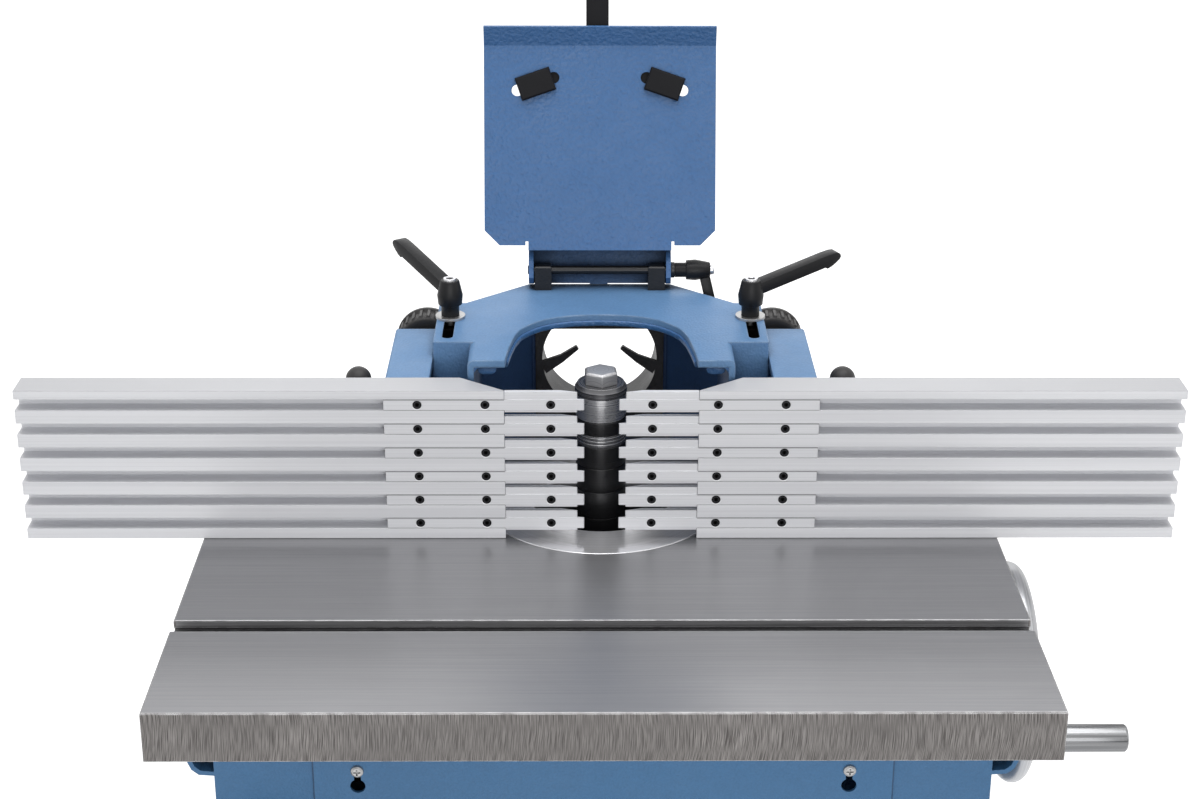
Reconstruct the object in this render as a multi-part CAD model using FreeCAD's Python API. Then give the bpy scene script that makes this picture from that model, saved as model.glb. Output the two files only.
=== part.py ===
import FreeCAD, Part
import math
import os

# Spindle moulder. Every part is drawn in mm from the front top edge of the table
# (X across, Y back, Z up from the table top, X = 0 on the spindle) and moved at the
# end so that the origin lies on the floor in the middle of the whole machine.

# Table
TABLE_HEIGHT = 860.0
TABLE_WIDTH = 750.0
TABLE_DEPTH = 600.0
TABLE_THICK = 45.0
MITRE_SLOT_Y = 148.5
MITRE_SLOT_WIDTH = 20.0
MITRE_SLOT_DEPTH = 11.0
SPINDLE_Y = 403.0
RING_R = 114.5
RING_HOLE_R = 65.0
RING_THICK = 10.0
TABLE_HOLE_R = 95.0

# Cabinet
CABINET_HALF = 330.0
CABINET_FRONT = 60.0
CABINET_BACK = 560.0
SHEET = 3.0
CABINET_FLANGE = 45.0
PANEL_EDGE = 84.0
PANEL_HALF = CABINET_HALF - PANEL_EDGE
PANEL_SCREW_INSET = 37.5
PANEL_SCREW_X = PANEL_HALF - PANEL_SCREW_INSET
PANEL_SCREW_Z = -89.5
KEYHOLE_DROP = 15.0
BOLT_INSET = 27.0
FOOT_INSET = 30.0
LUG_OUT = 22.0
LUG_WALL = 4.0
START_Z = -182.0
STOP_Z = -222.0

# Spindle and lift
ARBOR_R = 15.0
JOURNAL_R = 20.0
QUILL_R = 50.0
BEARING_R = 40.0
QUILL_TOP = -60.0
QUILL_BOTTOM = -270.0
ARBOR_SHOULDER = -8.0
RING_STACK_TOP = 117.0
STACK_R = 24.0
PULLEY_LOW = -335.0
PULLEY_HIGH = -295.0
SPINDLE_PULLEY_R = 40.0
MOTOR_PULLEY_R = 60.0
MOTOR_X = -190.0
LIFT_X = 110.0
WHEEL_Y = 293.0
WHEEL_Z = -127.0
GEAR_PITCH_R = 25.0
GEAR_TEETH = 20
SCREW_R = 9.0
WHEEL_SHAFT_R = 10.0
WHEEL_RIM_R = 94.0
WHEEL_RIM_SECTION = 11.0
WHEEL_GAP = 3.0
CRANK_ANGLE = 191.2

# Fence
FENCE_FACE = 322.0
FENCE_THICK = 33.4
FENCE_HEIGHT = 150.0
FENCE_INNER = 90.0
FENCE_OUTER = 540.0
RIB_PITCH = 24.0
GROOVE_LOW = 10.5
GROOVE_HIGH = 11.0
GROOVE_DEEP = 18.0
GROOVES = 6
FINGER_TIP = 16.0
FINGER_TAIL = 201.0
TIP_STEP = 6.5
FINGER_THICK = 6.0
FINGER_SCREWS = (47.0, 107.5, 170.0)
FENCE_SLOT_Z = 76.0
FENCE_BOLTS = (182.0, 250.0)

# Fence housing
HOOD_TOP = 166.0
HOOD_PLATE = 7.0
HOOD_WALL = 6.0
HOOD_HALF = 125.0
HOOD_FRONT = 358.0
HOOD_BACK = 575.0
HOOD_BACK_HALF = 71.5
SHOULDER_OUT = 160.0
SHOULDER_FRONT = 407.0
SHOULDER_BACK = 517.0
STUD_X = 147.0
STUD_Y = 476.0
STUD_R = 5.0
SLOT_FRONT = 417.0
SLOT_BACK = 492.0
WING_OUT = 202.0
WING_TOP = 150.0
WING_BACK = 486.0
ADJUST_X = 174.2
ADJUST_Z = 120.5
ADJUST_R = 6.0
BASE_OUT = 262.0
CLAMP_X = 238.0
CLAMP_Y = 455.0
PORT_Z = 88.0
PORT_R = 59.0

# Cover
PIN_Y = 564.0
PIN_Z = 185.0
PIN_R = 4.25
COVER_LEAN = 17.0
COVER_HALF = 116.0
COVER_TOP = 224.0
COVER_LOW = 20.0
COVER_STEP = 5.0
COVER_SHEET = 3.0
COVER_FACE = -17.0
LIP = 20.5
LIP_BEND = 30.0
TONGUE_Y = 12.0
TONGUE_HALF = 72.0
NUT_X = 64.5
NUT_Z = 186.0
NUT_TURN = 19.0
LEVER_X = 76.0
LEVER_BORE = 24.0
BAR = 22.5
BAR_X = -2.5
HOLDER_PLATE = 3.5
BAR_LOW = 112.0
BAR_HIGH = 372.0

# Clearances
RUN = 0.05
FIT = 0.1
SLIDE = 0.2
FREE = 0.3

FENCE_BACK = FENCE_FACE + FENCE_THICK
PAST_FENCE = FENCE_OUTER + 60.0
SWITCH_X = 43.0 - CABINET_HALF
WHEEL_RIM_X = max(TABLE_WIDTH / 2, CABINET_HALF + CABINET_FLANGE) + WHEEL_RIM_SECTION + WHEEL_GAP
BAR_BACK = COVER_FACE + COVER_SHEET + HOLDER_PLATE + BAR
LEAN_SIN = math.sin(math.radians(COVER_LEAN))
LEAN_COS = math.cos(math.radians(COVER_LEAN))
DEPTH = PIN_Y + BAR_HIGH * LEAN_SIN + BAR_BACK * LEAN_COS

V = FreeCAD.Vector
AX = V(1, 0, 0)
AY = V(0, 1, 0)
AZ = V(0, 0, 1)


def block(x0, x1, y0, y1, z0, z1):
    return Part.makeBox(x1 - x0, y1 - y0, z1 - z0, V(x0, y0, z0))


def rod(r, x, y, z, axis, length):
    return Part.makeCylinder(r, length, V(x, y, z), axis)


def tube(r_out, r_in, x, y, z, axis, length):
    return rod(r_out, x, y, z, axis, length).cut(rod(r_in, x, y, z, axis, length))


def flat(points):
    return Part.Face(Part.makePolygon(points + [points[0]]))


def plan(points, z0, z1):
    return flat([V(x, y, z0) for x, y in points]).extrude(V(0, 0, z1 - z0))


def front(points, y0, y1):
    return flat([V(x, y0, z) for x, z in points]).extrude(V(0, y1 - y0, 0))


def side(points, x0, x1):
    return flat([V(x0, y, z) for y, z in points]).extrude(V(x1 - x0, 0, 0))


def turned(profile):
    return flat([V(r, 0, z) for r, z in profile]).revolve(V(0, 0, 0), AZ, 360)


def join(shapes):
    return shapes[0].fuse(shapes[1:]).removeSplitter()


def moved(shape, x, y, z):
    out = shape.copy()
    out.translate(V(x, y, z))
    return out


def spun(shape, axis, angle):
    out = shape.copy()
    out.rotate(V(0, 0, 0), axis, angle)
    return out


def mirrored(shape):
    return shape.mirror(V(0, 0, 0), AX)


def hexagon(across, x, y, z, axis, length):
    r = across / math.sqrt(3.0)
    points = [V(r * math.cos(math.pi * k / 3), r * math.sin(math.pi * k / 3), 0) for k in range(6)]
    prism = flat(points).extrude(V(0, 0, length))
    if axis.x:
        prism.rotate(V(0, 0, 0), AY, 90)
    if axis.y:
        prism.rotate(V(0, 0, 0), AX, -90)
    return moved(prism, x, y, z)


def edges_at(shape, test):
    return [e for e in shape.Edges if all(test(v.Point) for v in e.Vertexes) and len(e.Vertexes) == 2]


def near(a, b):
    return abs(a - b) < 0.01


def save(name, shapes):
    shape = shapes if not isinstance(shapes, list) else Part.makeCompound(shapes)
    moved(shape, 0, -DEPTH / 2, TABLE_HEIGHT).exportStep("parts/" + name + ".step")


# Cabinet: folded sheet walls, flanges, front opening, louvres and two table brackets
def cabinet_shell():
    w, f, b = CABINET_HALF, CABINET_FRONT, CABINET_BACK
    top, low = -TABLE_THICK, -TABLE_HEIGHT
    shell = block(-w, w, f, b, low, top)
    shell = shell.cut(block(-w + SHEET, w - SHEET, f + SHEET, b - SHEET, low - 1, top + 1))
    ring = block(-w, w, f, b, 0, 5)
    inset = CABINET_FLANGE
    ring = ring.cut(block(-w + inset, w - inset, f + inset, b - inset, -1, 6))
    parts = [shell, moved(ring, 0, 0, top - 5), moved(ring, 0, 0, low)]
    parts += [lug(), mirrored(lug())]
    shell = join(parts)
    cuts = [block(-225, 225, f - 1, f + SHEET + 1, -560, -96)]
    for column in (-170, 40):
        for row in range(6):
            z = -260 - 28 * row
            cuts.append(block(column, column + 130, b - SHEET - 1, b + 1, z, z + 9))
    for x, y in table_bolt_places():
        cuts.append(rod(6 + FIT, x, y, -60, AZ, 20))
    for x in (FOOT_INSET - w, w - FOOT_INSET):
        for y in (f + 25, b - 25):
            cuts.append(rod(7, x, y, low - 1, AZ, 8))
    for s in (-1, 1):
        cuts.append(rod(2.5 + FIT, s * PANEL_SCREW_X, f - 1, PANEL_SCREW_Z, AY, 6))
    cuts.append(rod(20 + FIT, w - 5, WHEEL_Y, WHEEL_Z, AX, 10))
    return shell.cut(cuts)


# Hollow lug that carries the overhang of the table
def lug():
    w, f, top = CABINET_HALF, CABINET_FRONT, -TABLE_THICK
    out, t = w + LUG_OUT, LUG_WALL
    points = [(w - 1, top), (out, top), (out, top - 38), (out - 3, top - 45), (out - 9, top - 50)]
    inner = [(w, top - t), (out - t, top - t), (out - t, top - 37), (out - 6, top - 42), (out - 11, top - 46)]
    hollow = front(inner + [(w, top - 47)], f - 1, f + 45 - t)
    return front(points + [(w - 1, top - 51)], f, f + 45).cut(hollow)


def table_bolt_places():
    x = CABINET_HALF - BOLT_INSET
    return [(s * x, y) for s in (-1, 1) for y in (CABINET_FRONT + 25, CABINET_BACK - 25)]


def guide_bolt_places():
    r = 122 / math.sqrt(2)
    return [(x, SPINDLE_Y + y) for x in (-r, r) for y in (-r, r)]


# Front panel hung on two screws through keyholes
def front_panel():
    y0, y1 = CABINET_FRONT - SHEET, CABINET_FRONT
    panel = block(-PANEL_HALF, PANEL_HALF, y0, y1, -580, -52)
    cuts = []
    for s in (-1, 1):
        x = s * PANEL_SCREW_X
        low = PANEL_SCREW_Z - KEYHOLE_DROP
        cuts.append(rod(6.5, x, y0 - 1, low, AY, 6))
        cuts.append(rod(2.9, x, y0 - 1, PANEL_SCREW_Z, AY, 6))
        cuts.append(block(x - 2.9, x + 2.9, y0 - 1, y1 + 1, low, PANEL_SCREW_Z))
    return panel.cut(cuts)


def panel_screws():
    screws = []
    y = CABINET_FRONT - SHEET
    for s in (-1, 1):
        x = s * PANEL_SCREW_X
        head = turned([(0, 0), (5.8, 0), (5.2, 2.0), (3.6, 3.2), (0, 3.2)])
        head = moved(spun(head, AX, 90), x, y, PANEL_SCREW_Z)
        screw = join([head, rod(2.5, x, y - 1, PANEL_SCREW_Z, AY, 14)])
        cross = [block(x - 3, x + 3, y - 4, y - 1.8, PANEL_SCREW_Z - 0.6, PANEL_SCREW_Z + 0.6)]
        cross.append(block(x - 0.6, x + 0.6, y - 4, y - 1.8, PANEL_SCREW_Z - 3, PANEL_SCREW_Z + 3))
        screws.append(screw.cut(cross))
    return screws


# Cast table with mitre slot, ring seat and ribbed underside
def table():
    half = TABLE_WIDTH / 2
    body = block(-half, half, 0, TABLE_DEPTH, -TABLE_THICK, 0)
    rim = edges_at(body, lambda p: near(p.z, 0))
    body = body.makeChamfer(1.0, rim)
    y, w = MITRE_SLOT_Y, MITRE_SLOT_WIDTH / 2
    cuts = [block(-half - 1, half + 1, y - w, y + w, -MITRE_SLOT_DEPTH, 1)]
    cuts.append(block(-half - 1, half + 1, y - w - 2.5, y + w + 2.5, -MITRE_SLOT_DEPTH, -7))
    cuts.append(rod(RING_R + SLIDE, 0, SPINDLE_Y, -RING_THICK, AZ, 20))
    cuts.append(rod(TABLE_HOLE_R, 0, SPINDLE_Y, -60, AZ, 80))
    for s in (-1, 1):
        x0, x1 = sorted((s * 172, s * 275))
        for y0, y1 in ((25, 120), (180, 290), (310, 445), (465, 575)):
            cuts.append(block(x0, x1, y0, y1, -TABLE_THICK - 1, -25))
    for x, y in table_bolt_places() + guide_bolt_places():
        cuts.append(rod(6 + FIT, x, y, -TABLE_THICK - 1, AZ, 18))
    for s in (-1, 1):
        cuts.append(rod(6 + FIT, s * CLAMP_X, CLAMP_Y, -26, AZ, 30))
    return body.cut(cuts)


def table_bolts():
    bolts = []
    for x, y in table_bolt_places():
        seat = -TABLE_THICK - 5
        bolts.append(join([rod(6, x, y, seat - 1, AZ, 20), hexagon(19, x, y, seat - 8, AZ, 8)]))
    for x, y in guide_bolt_places():
        seat = -TABLE_THICK - 15
        bolts.append(join([rod(6, x, y, seat - 1, AZ, 30), hexagon(19, x, y, seat - 8, AZ, 8)]))
    return bolts


def insert_ring():
    ring = tube(RING_R, RING_HOLE_R, 0, SPINDLE_Y, -RING_THICK, AZ, RING_THICK)
    rims = [e for e in ring.Edges if len(e.Vertexes) == 1 and near(e.Vertexes[0].Z, 0)]
    return ring.makeChamfer(1.2, rims)


# Switch box with two sprung buttons
def switch_box():
    y = CABINET_FRONT
    box = block(SWITCH_X - 31, SWITCH_X + 31, y - 36, y, -252, -152)
    box = box.makeFillet(4, edges_at(box, lambda p: near(p.y, y - 36)))
    cuts = [rod(11 + FREE, SWITCH_X, y - 40, START_Z, AY, 26)]
    cuts.append(rod(11 + FREE, SWITCH_X, y - 40, STOP_Z, AY, 26))
    return box.cut(cuts)


def button(z, cap_r, cap):
    y = CABINET_FRONT - 36
    top = 14 + cap
    head = turned([(0, 0), (11, 0), (11, 14), (cap_r, 14), (cap_r, top - 1.5), (cap_r - 2, top), (0, top)])
    return moved(spun(head, AX, 90), SWITCH_X, y + 7.5, z)


# Quill guide casting under the table, with the lift screw arm and shaft lug
def quill_guide():
    under = -TABLE_THICK
    y = SPINDLE_Y
    flange = rod(145, 0, y, under - 15, AZ, 15)
    flange = flange.common(block(-150, 150, 0, CABINET_BACK - CABINET_FLANGE - 3, -80, 0))
    parts = [flange, rod(66, 0, y, -210, AZ, under + 210)]
    arm = [(20, y - 62), (62, y - 20), (LIFT_X + 60, WHEEL_Y + 22)]
    arm += [(LIFT_X + 60, WHEEL_Y - 22), (LIFT_X - 20, WHEEL_Y - 22)]
    parts.append(plan(arm, -198, -176))
    parts.append(block(LIFT_X + 55, LIFT_X + 72, WHEEL_Y - 24, WHEEL_Y + 24, -198, -100))
    for angle in (30, 150, 270):
        web = block(55, 125, -5, 5, -150, under - 10)
        parts.append(moved(spun(web, AZ, angle + 60), 0, y, 0))
    body = join(parts)
    cuts = [rod(QUILL_R + RUN, 0, y, -220, AZ, 220), rod(SCREW_R + RUN, LIFT_X, WHEEL_Y, -220, AZ, 60)]
    cuts.append(rod(WHEEL_SHAFT_R + RUN, LIFT_X + 40, WHEEL_Y, WHEEL_Z, AX, 60))
    for x, by in guide_bolt_places():
        cuts.append(rod(6 + FIT, x, by, under - 20, AZ, 30))
    return body.cut(cuts)


# Quill with its nut arm, carrying spindle and motor
def quill():
    y = SPINDLE_Y
    body = rod(QUILL_R, 0, y, QUILL_BOTTOM, AZ, QUILL_TOP - QUILL_BOTTOM)
    collar = rod(66, 0, y, QUILL_BOTTOM, AZ, 34)
    outline = [(10, y - 62), (62, y - 10), (LIFT_X + 15, WHEEL_Y + 17), (LIFT_X - 15, WHEEL_Y - 17)]
    arm = plan(outline, QUILL_BOTTOM + 4, QUILL_BOTTOM + 34)
    boss = rod(22, LIFT_X, WHEEL_Y, QUILL_BOTTOM + 4, AZ, 30)
    body = join([body, collar, arm, boss])
    cuts = [rod(BEARING_R + FIT, 0, y, QUILL_BOTTOM - 1, AZ, 400)]
    cuts.append(rod(SCREW_R + RUN, LIFT_X, WHEEL_Y, QUILL_BOTTOM, AZ, 40))
    body = body.cut(cuts)
    spacer = tube(BEARING_R + FIT, 30, 0, y, QUILL_BOTTOM + 40, AZ, 110)
    return join([body, spacer])


def spindle_bearings():
    rings = []
    for z in (QUILL_BOTTOM + 10, QUILL_TOP - 32):
        ring = tube(BEARING_R, JOURNAL_R + RUN, 0, SPINDLE_Y, z, AZ, 28)
        for face in (z - 1, z + 26):
            ring = ring.cut(tube(35, 26, 0, SPINDLE_Y, face, AZ, 3))
        rings.append(ring)
    return rings


def motor_bracket():
    y = SPINDLE_Y
    top = QUILL_BOTTOM
    outline = [(-95, y - 66), (30, y - 66), (66, y - 30), (66, y + 30), (30, y + 66), (-95, y + 66)]
    outline += [(MOTOR_X, y + 92), (MOTOR_X - 92, y + 60), (MOTOR_X - 92, y - 60), (MOTOR_X, y - 92)]
    plate = plan(outline, top - 14, top)
    return plate.cut([rod(30, 0, y, top - 20, AZ, 40), rod(17, MOTOR_X, y, top - 20, AZ, 40)])


# Finned motor body with fan cover and terminal box
def motor():
    points = []
    fins = 28
    for k in range(fins):
        for share, r in ((0.0, 76), (0.45, 76), (0.52, 86), (0.93, 86)):
            a = 2 * math.pi * (k + share) / fins
            points.append((MOTOR_X + r * math.cos(a), SPINDLE_Y + r * math.sin(a)))
    low = QUILL_BOTTOM
    parts = [plan(points, low + 14, low + 150), rod(86, MOTOR_X, SPINDLE_Y, low, AZ, 16)]
    cover = rod(86, MOTOR_X, SPINDLE_Y, low + 148, AZ, 46)
    cover = cover.makeFillet(12, [e for e in cover.Edges if near(e.BoundBox.ZMin, low + 194)])
    parts.append(cover)
    parts.append(block(MOTOR_X - 40, MOTOR_X + 40, SPINDLE_Y - 118, SPINDLE_Y - 60, low + 50, low + 130))
    body = join(parts)
    return body.cut(rod(12 + RUN, MOTOR_X, SPINDLE_Y, low - 1, AZ, 76))


def pulley(r, bore, x):
    h = PULLEY_HIGH - PULLEY_LOW
    profile = [(bore, 0), (r + 4, 0), (r + 4, 6), (r, 7), (r, h - 7), (r + 4, h - 6), (r + 4, h), (bore, h)]
    return moved(turned(profile), x, SPINDLE_Y, PULLEY_LOW)


# Flat drive belt round both pulleys
def belt_loop(grow):
    r0, r1 = SPINDLE_PULLEY_R + grow, MOTOR_PULLEY_R + grow
    reach = abs(MOTOR_X)
    lift = math.asin((r1 - r0) / reach)
    dx, dy = math.sin(lift), math.cos(lift)
    points = [(r0 * dx, r0 * dy), (MOTOR_X + r1 * dx, r1 * dy), (MOTOR_X - r1, 0),
              (MOTOR_X + r1 * dx, -r1 * dy), (r0 * dx, -r0 * dy), (r0, 0)]
    p = [V(x, SPINDLE_Y + y, PULLEY_LOW + 9) for x, y in points]
    lines = [Part.makeLine(p[0], p[1]), Part.Arc(p[1], p[2], p[3]).toShape(),
             Part.makeLine(p[3], p[4]), Part.Arc(p[4], p[5], p[0]).toShape()]
    return Part.Face(Part.Wire(lines)).extrude(V(0, 0, PULLEY_HIGH - PULLEY_LOW - 18))


def drive_belt():
    return belt_loop(FREE + 4).cut(belt_loop(FREE))


# Spindle, its rings, clamp cap and bolt
def spindle():
    profile = [(0, PULLEY_LOW - 5), (ARBOR_R, PULLEY_LOW - 5), (ARBOR_R, PULLEY_HIGH + 5)]
    profile += [(JOURNAL_R, PULLEY_HIGH + 5), (JOURNAL_R, -45), (STACK_R, -45), (STACK_R, ARBOR_SHOULDER)]
    profile += [(ARBOR_R, ARBOR_SHOULDER), (ARBOR_R, RING_STACK_TOP - 4), (ARBOR_R - 1, RING_STACK_TOP - 3)]
    profile += [(0, RING_STACK_TOP - 3)]
    body = moved(turned(profile), 0, SPINDLE_Y, 0)
    return body.cut(rod(10 + FIT, 0, SPINDLE_Y, 60, AZ, 100))


def spindle_rings():
    levels = [ARBOR_SHOULDER, 20, 45, 70, 95, RING_STACK_TOP]
    rings = []
    for low, high in zip(levels, levels[1:]):
        c = 0.8
        profile = [(ARBOR_R + FIT, low), (STACK_R - c, low), (STACK_R, low + c)]
        profile += [(STACK_R, high - c), (STACK_R - c, high), (ARBOR_R + FIT, high)]
        rings.append(moved(turned(profile), 0, SPINDLE_Y, 0))
    return rings


def clamp_cap():
    low = RING_STACK_TOP
    cap = turned([(10 + FIT, low), (25, low), (25, low + 6), (22.5, low + 10), (10 + FIT, low + 10)])
    return moved(cap, 0, SPINDLE_Y, 0)


def spindle_bolt():
    low = RING_STACK_TOP + 10
    head = hexagon(30, 0, SPINDLE_Y, low, AZ, 12.5)
    round_off = turned([(0, low), (18, low), (18, low + 9.5), (14, low + 12.5), (0, low + 12.5)])
    head = head.common(moved(round_off, 0, SPINDLE_Y, 0))
    return join([head, rod(10, 0, SPINDLE_Y, 62, AZ, low - 61)])


# Mitre gear with its cone apex at the origin and its axis along +Z
def mitre_gear(half_step):
    module = 2 * GEAR_PITCH_R / GEAR_TEETH
    reach = GEAR_PITCH_R / math.sin(math.pi / 4)
    back_r = GEAR_PITCH_R / math.cos(math.pi / 4)
    base = back_r * math.cos(math.radians(20))
    half = (math.pi * module / 4 - 0.18) / back_r
    lean = math.tan(math.radians(20)) - math.radians(20)
    levels = []
    for s in (-1.3 * module, 0.0, 0.9 * module):
        roll = math.acos(min(1.0, base / (back_r + s)))
        turn = (half + lean - (math.tan(roll) - roll)) / math.cos(math.pi / 4)
        levels.append((GEAR_PITCH_R * math.tan(math.pi / 4 + math.atan(s / reach)), turn))
    wires = []
    for scale in (1.0, 0.62):
        points = []
        for k in range(GEAR_TEETH):
            mid = 2 * math.pi * (k + half_step) / GEAR_TEETH
            for r, turn in levels:
                points.append(polar(r, mid - turn, scale))
            for r, turn in reversed(levels):
                points.append(polar(r, mid + turn, scale))
        wires.append(Part.makePolygon(points + [points[0]]))
    return Part.makeLoft(wires, True, True)


def polar(r, a, scale):
    return V(scale * r * math.cos(a), scale * r * math.sin(a), scale * GEAR_PITCH_R)


def lift_screw():
    gear = moved(spun(mitre_gear(0.5), AX, 180), LIFT_X, WHEEL_Y, WHEEL_Z)
    back = WHEEL_Z - GEAR_PITCH_R
    hub = rod(16, LIFT_X, WHEEL_Y, -176, AZ, back + 176.5)
    screw = rod(SCREW_R, LIFT_X, WHEEL_Y, -390, AZ, back + 391)
    collar = rod(15, LIFT_X, WHEEL_Y, -206, AZ, 8)
    return join([gear, hub, screw, collar])


def wheel_shaft():
    gear = moved(spun(mitre_gear(0.0), AY, 90), LIFT_X, WHEEL_Y, WHEEL_Z)
    start = LIFT_X + GEAR_PITCH_R
    hub = rod(16, start - 0.5, WHEEL_Y, WHEEL_Z, AX, LIFT_X + 55 - start + 0.5)
    shaft = rod(WHEEL_SHAFT_R, start - 1, WHEEL_Y, WHEEL_Z, AX, WHEEL_RIM_X + 12 - start)
    return join([gear, hub, shaft])


def wheel_bush():
    w = CABINET_HALF
    body = rod(20, w - 25, WHEEL_Y, WHEEL_Z, AX, 30)
    flange = rod(30, w, WHEEL_Y, WHEEL_Z, AX, 8)
    bore = rod(WHEEL_SHAFT_R + RUN, w - 40, WHEEL_Y, WHEEL_Z, AX, 80)
    return join([body, flange]).cut(bore)


# Handwheel with three spokes and the stud of its crank handle
def crank_place():
    a = math.radians(CRANK_ANGLE)
    return WHEEL_Y + WHEEL_RIM_R * math.cos(a), WHEEL_Z + WHEEL_RIM_R * math.sin(a)


def handwheel():
    rim = Part.makeTorus(WHEEL_RIM_R, WHEEL_RIM_SECTION, V(WHEEL_RIM_X, WHEEL_Y, WHEEL_Z), AX)
    hub_x = CABINET_HALF + 8.5
    hub = rod(22, hub_x, WHEEL_Y, WHEEL_Z, AX, WHEEL_RIM_X + 12 - hub_x)
    parts = [rim, hub]
    for k in range(3):
        a = math.radians(CRANK_ANGLE + 120 * k)
        reach = V(0, math.cos(a), math.sin(a))
        root = V(hub_x + 26, WHEEL_Y, WHEEL_Z) + reach * 12
        tip = V(WHEEL_RIM_X - 2, WHEEL_Y, WHEEL_Z) + reach * WHEEL_RIM_R
        parts.append(Part.makeCone(10, 7.5, (tip - root).Length, root, tip - root))
    y, z = crank_place()
    parts.append(rod(6, WHEEL_RIM_X, y, z, AX, 87))
    body = join(parts)
    return body.cut(rod(WHEEL_SHAFT_R, hub_x - 1, WHEEL_Y, WHEEL_Z, AX, WHEEL_RIM_X + 12 - hub_x + 1))


def crank_handle():
    y, z = crank_place()
    profile = [(6 + RUN, 0), (11.4, 0), (12.9, 2), (12.9, 75), (11.4, 77), (6 + RUN, 77)]
    grip = spun(turned(profile), AY, 90)
    return moved(grip, WHEEL_RIM_X + 16, y, z)


# Fence housing: hood, shoulders, base flange and adjuster lugs in one casting
def arch_points():
    left = [(-90, HOOD_FRONT), (-88.6, 378), (-86.4, 399), (-83.2, 420.4), (-77.9, 439.6)]
    left += [(-68.6, 455), (-58.1, 466.3), (-43.6, 475), (-25, 480.7), (0, 483)]
    return left + [(-x, y) for x, y in reversed(left[:-1])]


def hood_plate():
    z = HOOD_TOP - HOOD_PLATE
    arch = Part.BSplineCurve()
    arch.interpolate([V(x, y, z) for x, y in arch_points()])
    right = [(90, HOOD_FRONT), (HOOD_HALF, HOOD_FRONT), (HOOD_HALF, SHOULDER_FRONT)]
    right += [(SHOULDER_OUT, SHOULDER_FRONT), (SHOULDER_OUT, SHOULDER_BACK), (134, SHOULDER_BACK)]
    right += [(HOOD_BACK_HALF, HOOD_BACK)]
    outline = right + [(-x, y) for x, y in reversed(right)]
    edges = [arch.toShape()]
    for (x0, y0), (x1, y1) in zip(outline, outline[1:]):
        edges.append(Part.makeLine(V(x0, y0, z), V(x1, y1, z)))
    return Part.Face(Part.Wire(edges)).extrude(V(0, 0, HOOD_PLATE))


def hood_walls():
    t = HOOD_WALL
    corner = SHOULDER_BACK + 2
    outer = wall_outline(HOOD_HALF, HOOD_BACK, HOOD_BACK_HALF, HOOD_FRONT, corner)
    inner = wall_outline(HOOD_HALF - t, HOOD_BACK - t, HOOD_BACK_HALF - 2.6, HOOD_FRONT - 1, corner - 2.5)
    return plan(outer, 0, HOOD_TOP - HOOD_PLATE).cut(plan(inner, -1, HOOD_TOP))


def wall_outline(half, back, back_half, start, corner):
    right = [(back_half, back), (half, corner), (half, start)]
    return [(-x, y) for x, y in reversed(right)] + right


def fence_housing():
    parts = [hood_plate(), hood_walls()]
    ceiling = HOOD_TOP - HOOD_PLATE
    inner = HOOD_HALF - 3
    sides = [block(inner, BASE_OUT, 392, SHOULDER_BACK + 3, 0, 12)]
    sides.append(block(inner, SHOULDER_OUT, SHOULDER_FRONT, SHOULDER_FRONT + 6, 0, ceiling))
    sides.append(block(inner, SHOULDER_OUT, SHOULDER_BACK - 6, SHOULDER_BACK, 0, ceiling))
    sides.append(block(SHOULDER_OUT - 2, ADJUST_X + 14, WING_BACK + 3, SHOULDER_BACK - 5, 0, ADJUST_Z + 13))
    body = join(parts + sides + [mirrored(b) for b in sides])
    bend = edges_at(body, on_front_bend)
    body = body.makeFillet(6.0, bend)
    cuts = [rod(PORT_R + 5.5, 0, HOOD_BACK - 20, PORT_Z, AY, 40)]
    for s in (-1, 1):
        x = s * STUD_X
        cuts.append(slot_y(x, SLOT_FRONT, SLOT_BACK, STUD_R + FREE, ceiling - 1, HOOD_TOP + 1))
        cuts.append(slot_y(s * CLAMP_X, CLAMP_Y - 38, CLAMP_Y + 38, 7, -1, 13))
        cuts.append(rod(ADJUST_R + RUN, s * ADJUST_X, WING_BACK, ADJUST_Z, AY, 40))
    return body.cut(cuts)


def on_front_bend(p):
    return near(abs(p.x), HOOD_HALF) and near(p.z, HOOD_TOP) and p.y < SHOULDER_FRONT + 1


def slot_y(x, y0, y1, r, z0, z1):
    ends = [rod(r, x, y0 + r, z0, AZ, z1 - z0), rod(r, x, y1 - r, z0, AZ, z1 - z0)]
    return join([block(x - r, x + r, y0 + r, y1 - r, z0, z1)] + ends)


# Dust port: inner flange with two claws and the hose spigot
def dust_port():
    seat = HOOD_BACK - HOOD_WALL
    flange = front([(-66, 22), (66, 22), (66, 148), (56, 156), (-56, 156), (-66, 148)], seat - 5, seat)
    spigot = rod(PORT_R + 4, 0, seat - 2, PORT_Z, AY, 54)
    window = rod(PORT_R, 0, seat - 10, PORT_Z, AY, 90)
    flat_top = block(-70, 70, seat - 10, seat + 2, 121, 170)
    body = join([flange, spigot]).cut(window.cut(flat_top))
    body = body.cut(rod(PORT_R, 0, seat, PORT_Z, AY, 90))
    claws = []
    points = [(62, 84), (55, 72), (38, 84), (21.5, 98.5), (24, 102), (40, 92)]
    for s in (-1, 1):
        claws.append(front([(s * x, z) for x, z in points], seat - 5, seat))
    return join([body] + claws)


# Cover parts are drawn upright about the hinge pin, then leaned back onto it
def on_hinge(shape):
    return moved(spun(shape, AX, -COVER_LEAN), 0, PIN_Y, PIN_Z)


def cover_slot(s, r, y0, y1):
    length = 38.6
    ends = [rod(r, -length / 2, y0, 0, AY, y1 - y0), rod(r, length / 2, y0, 0, AY, y1 - y0)]
    slot = join([block(-length / 2, length / 2, y0, y1, -r, r)] + ends)
    return moved(spun(slot, AY, s * NUT_TURN), s * NUT_X, 0, NUT_Z)


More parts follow.
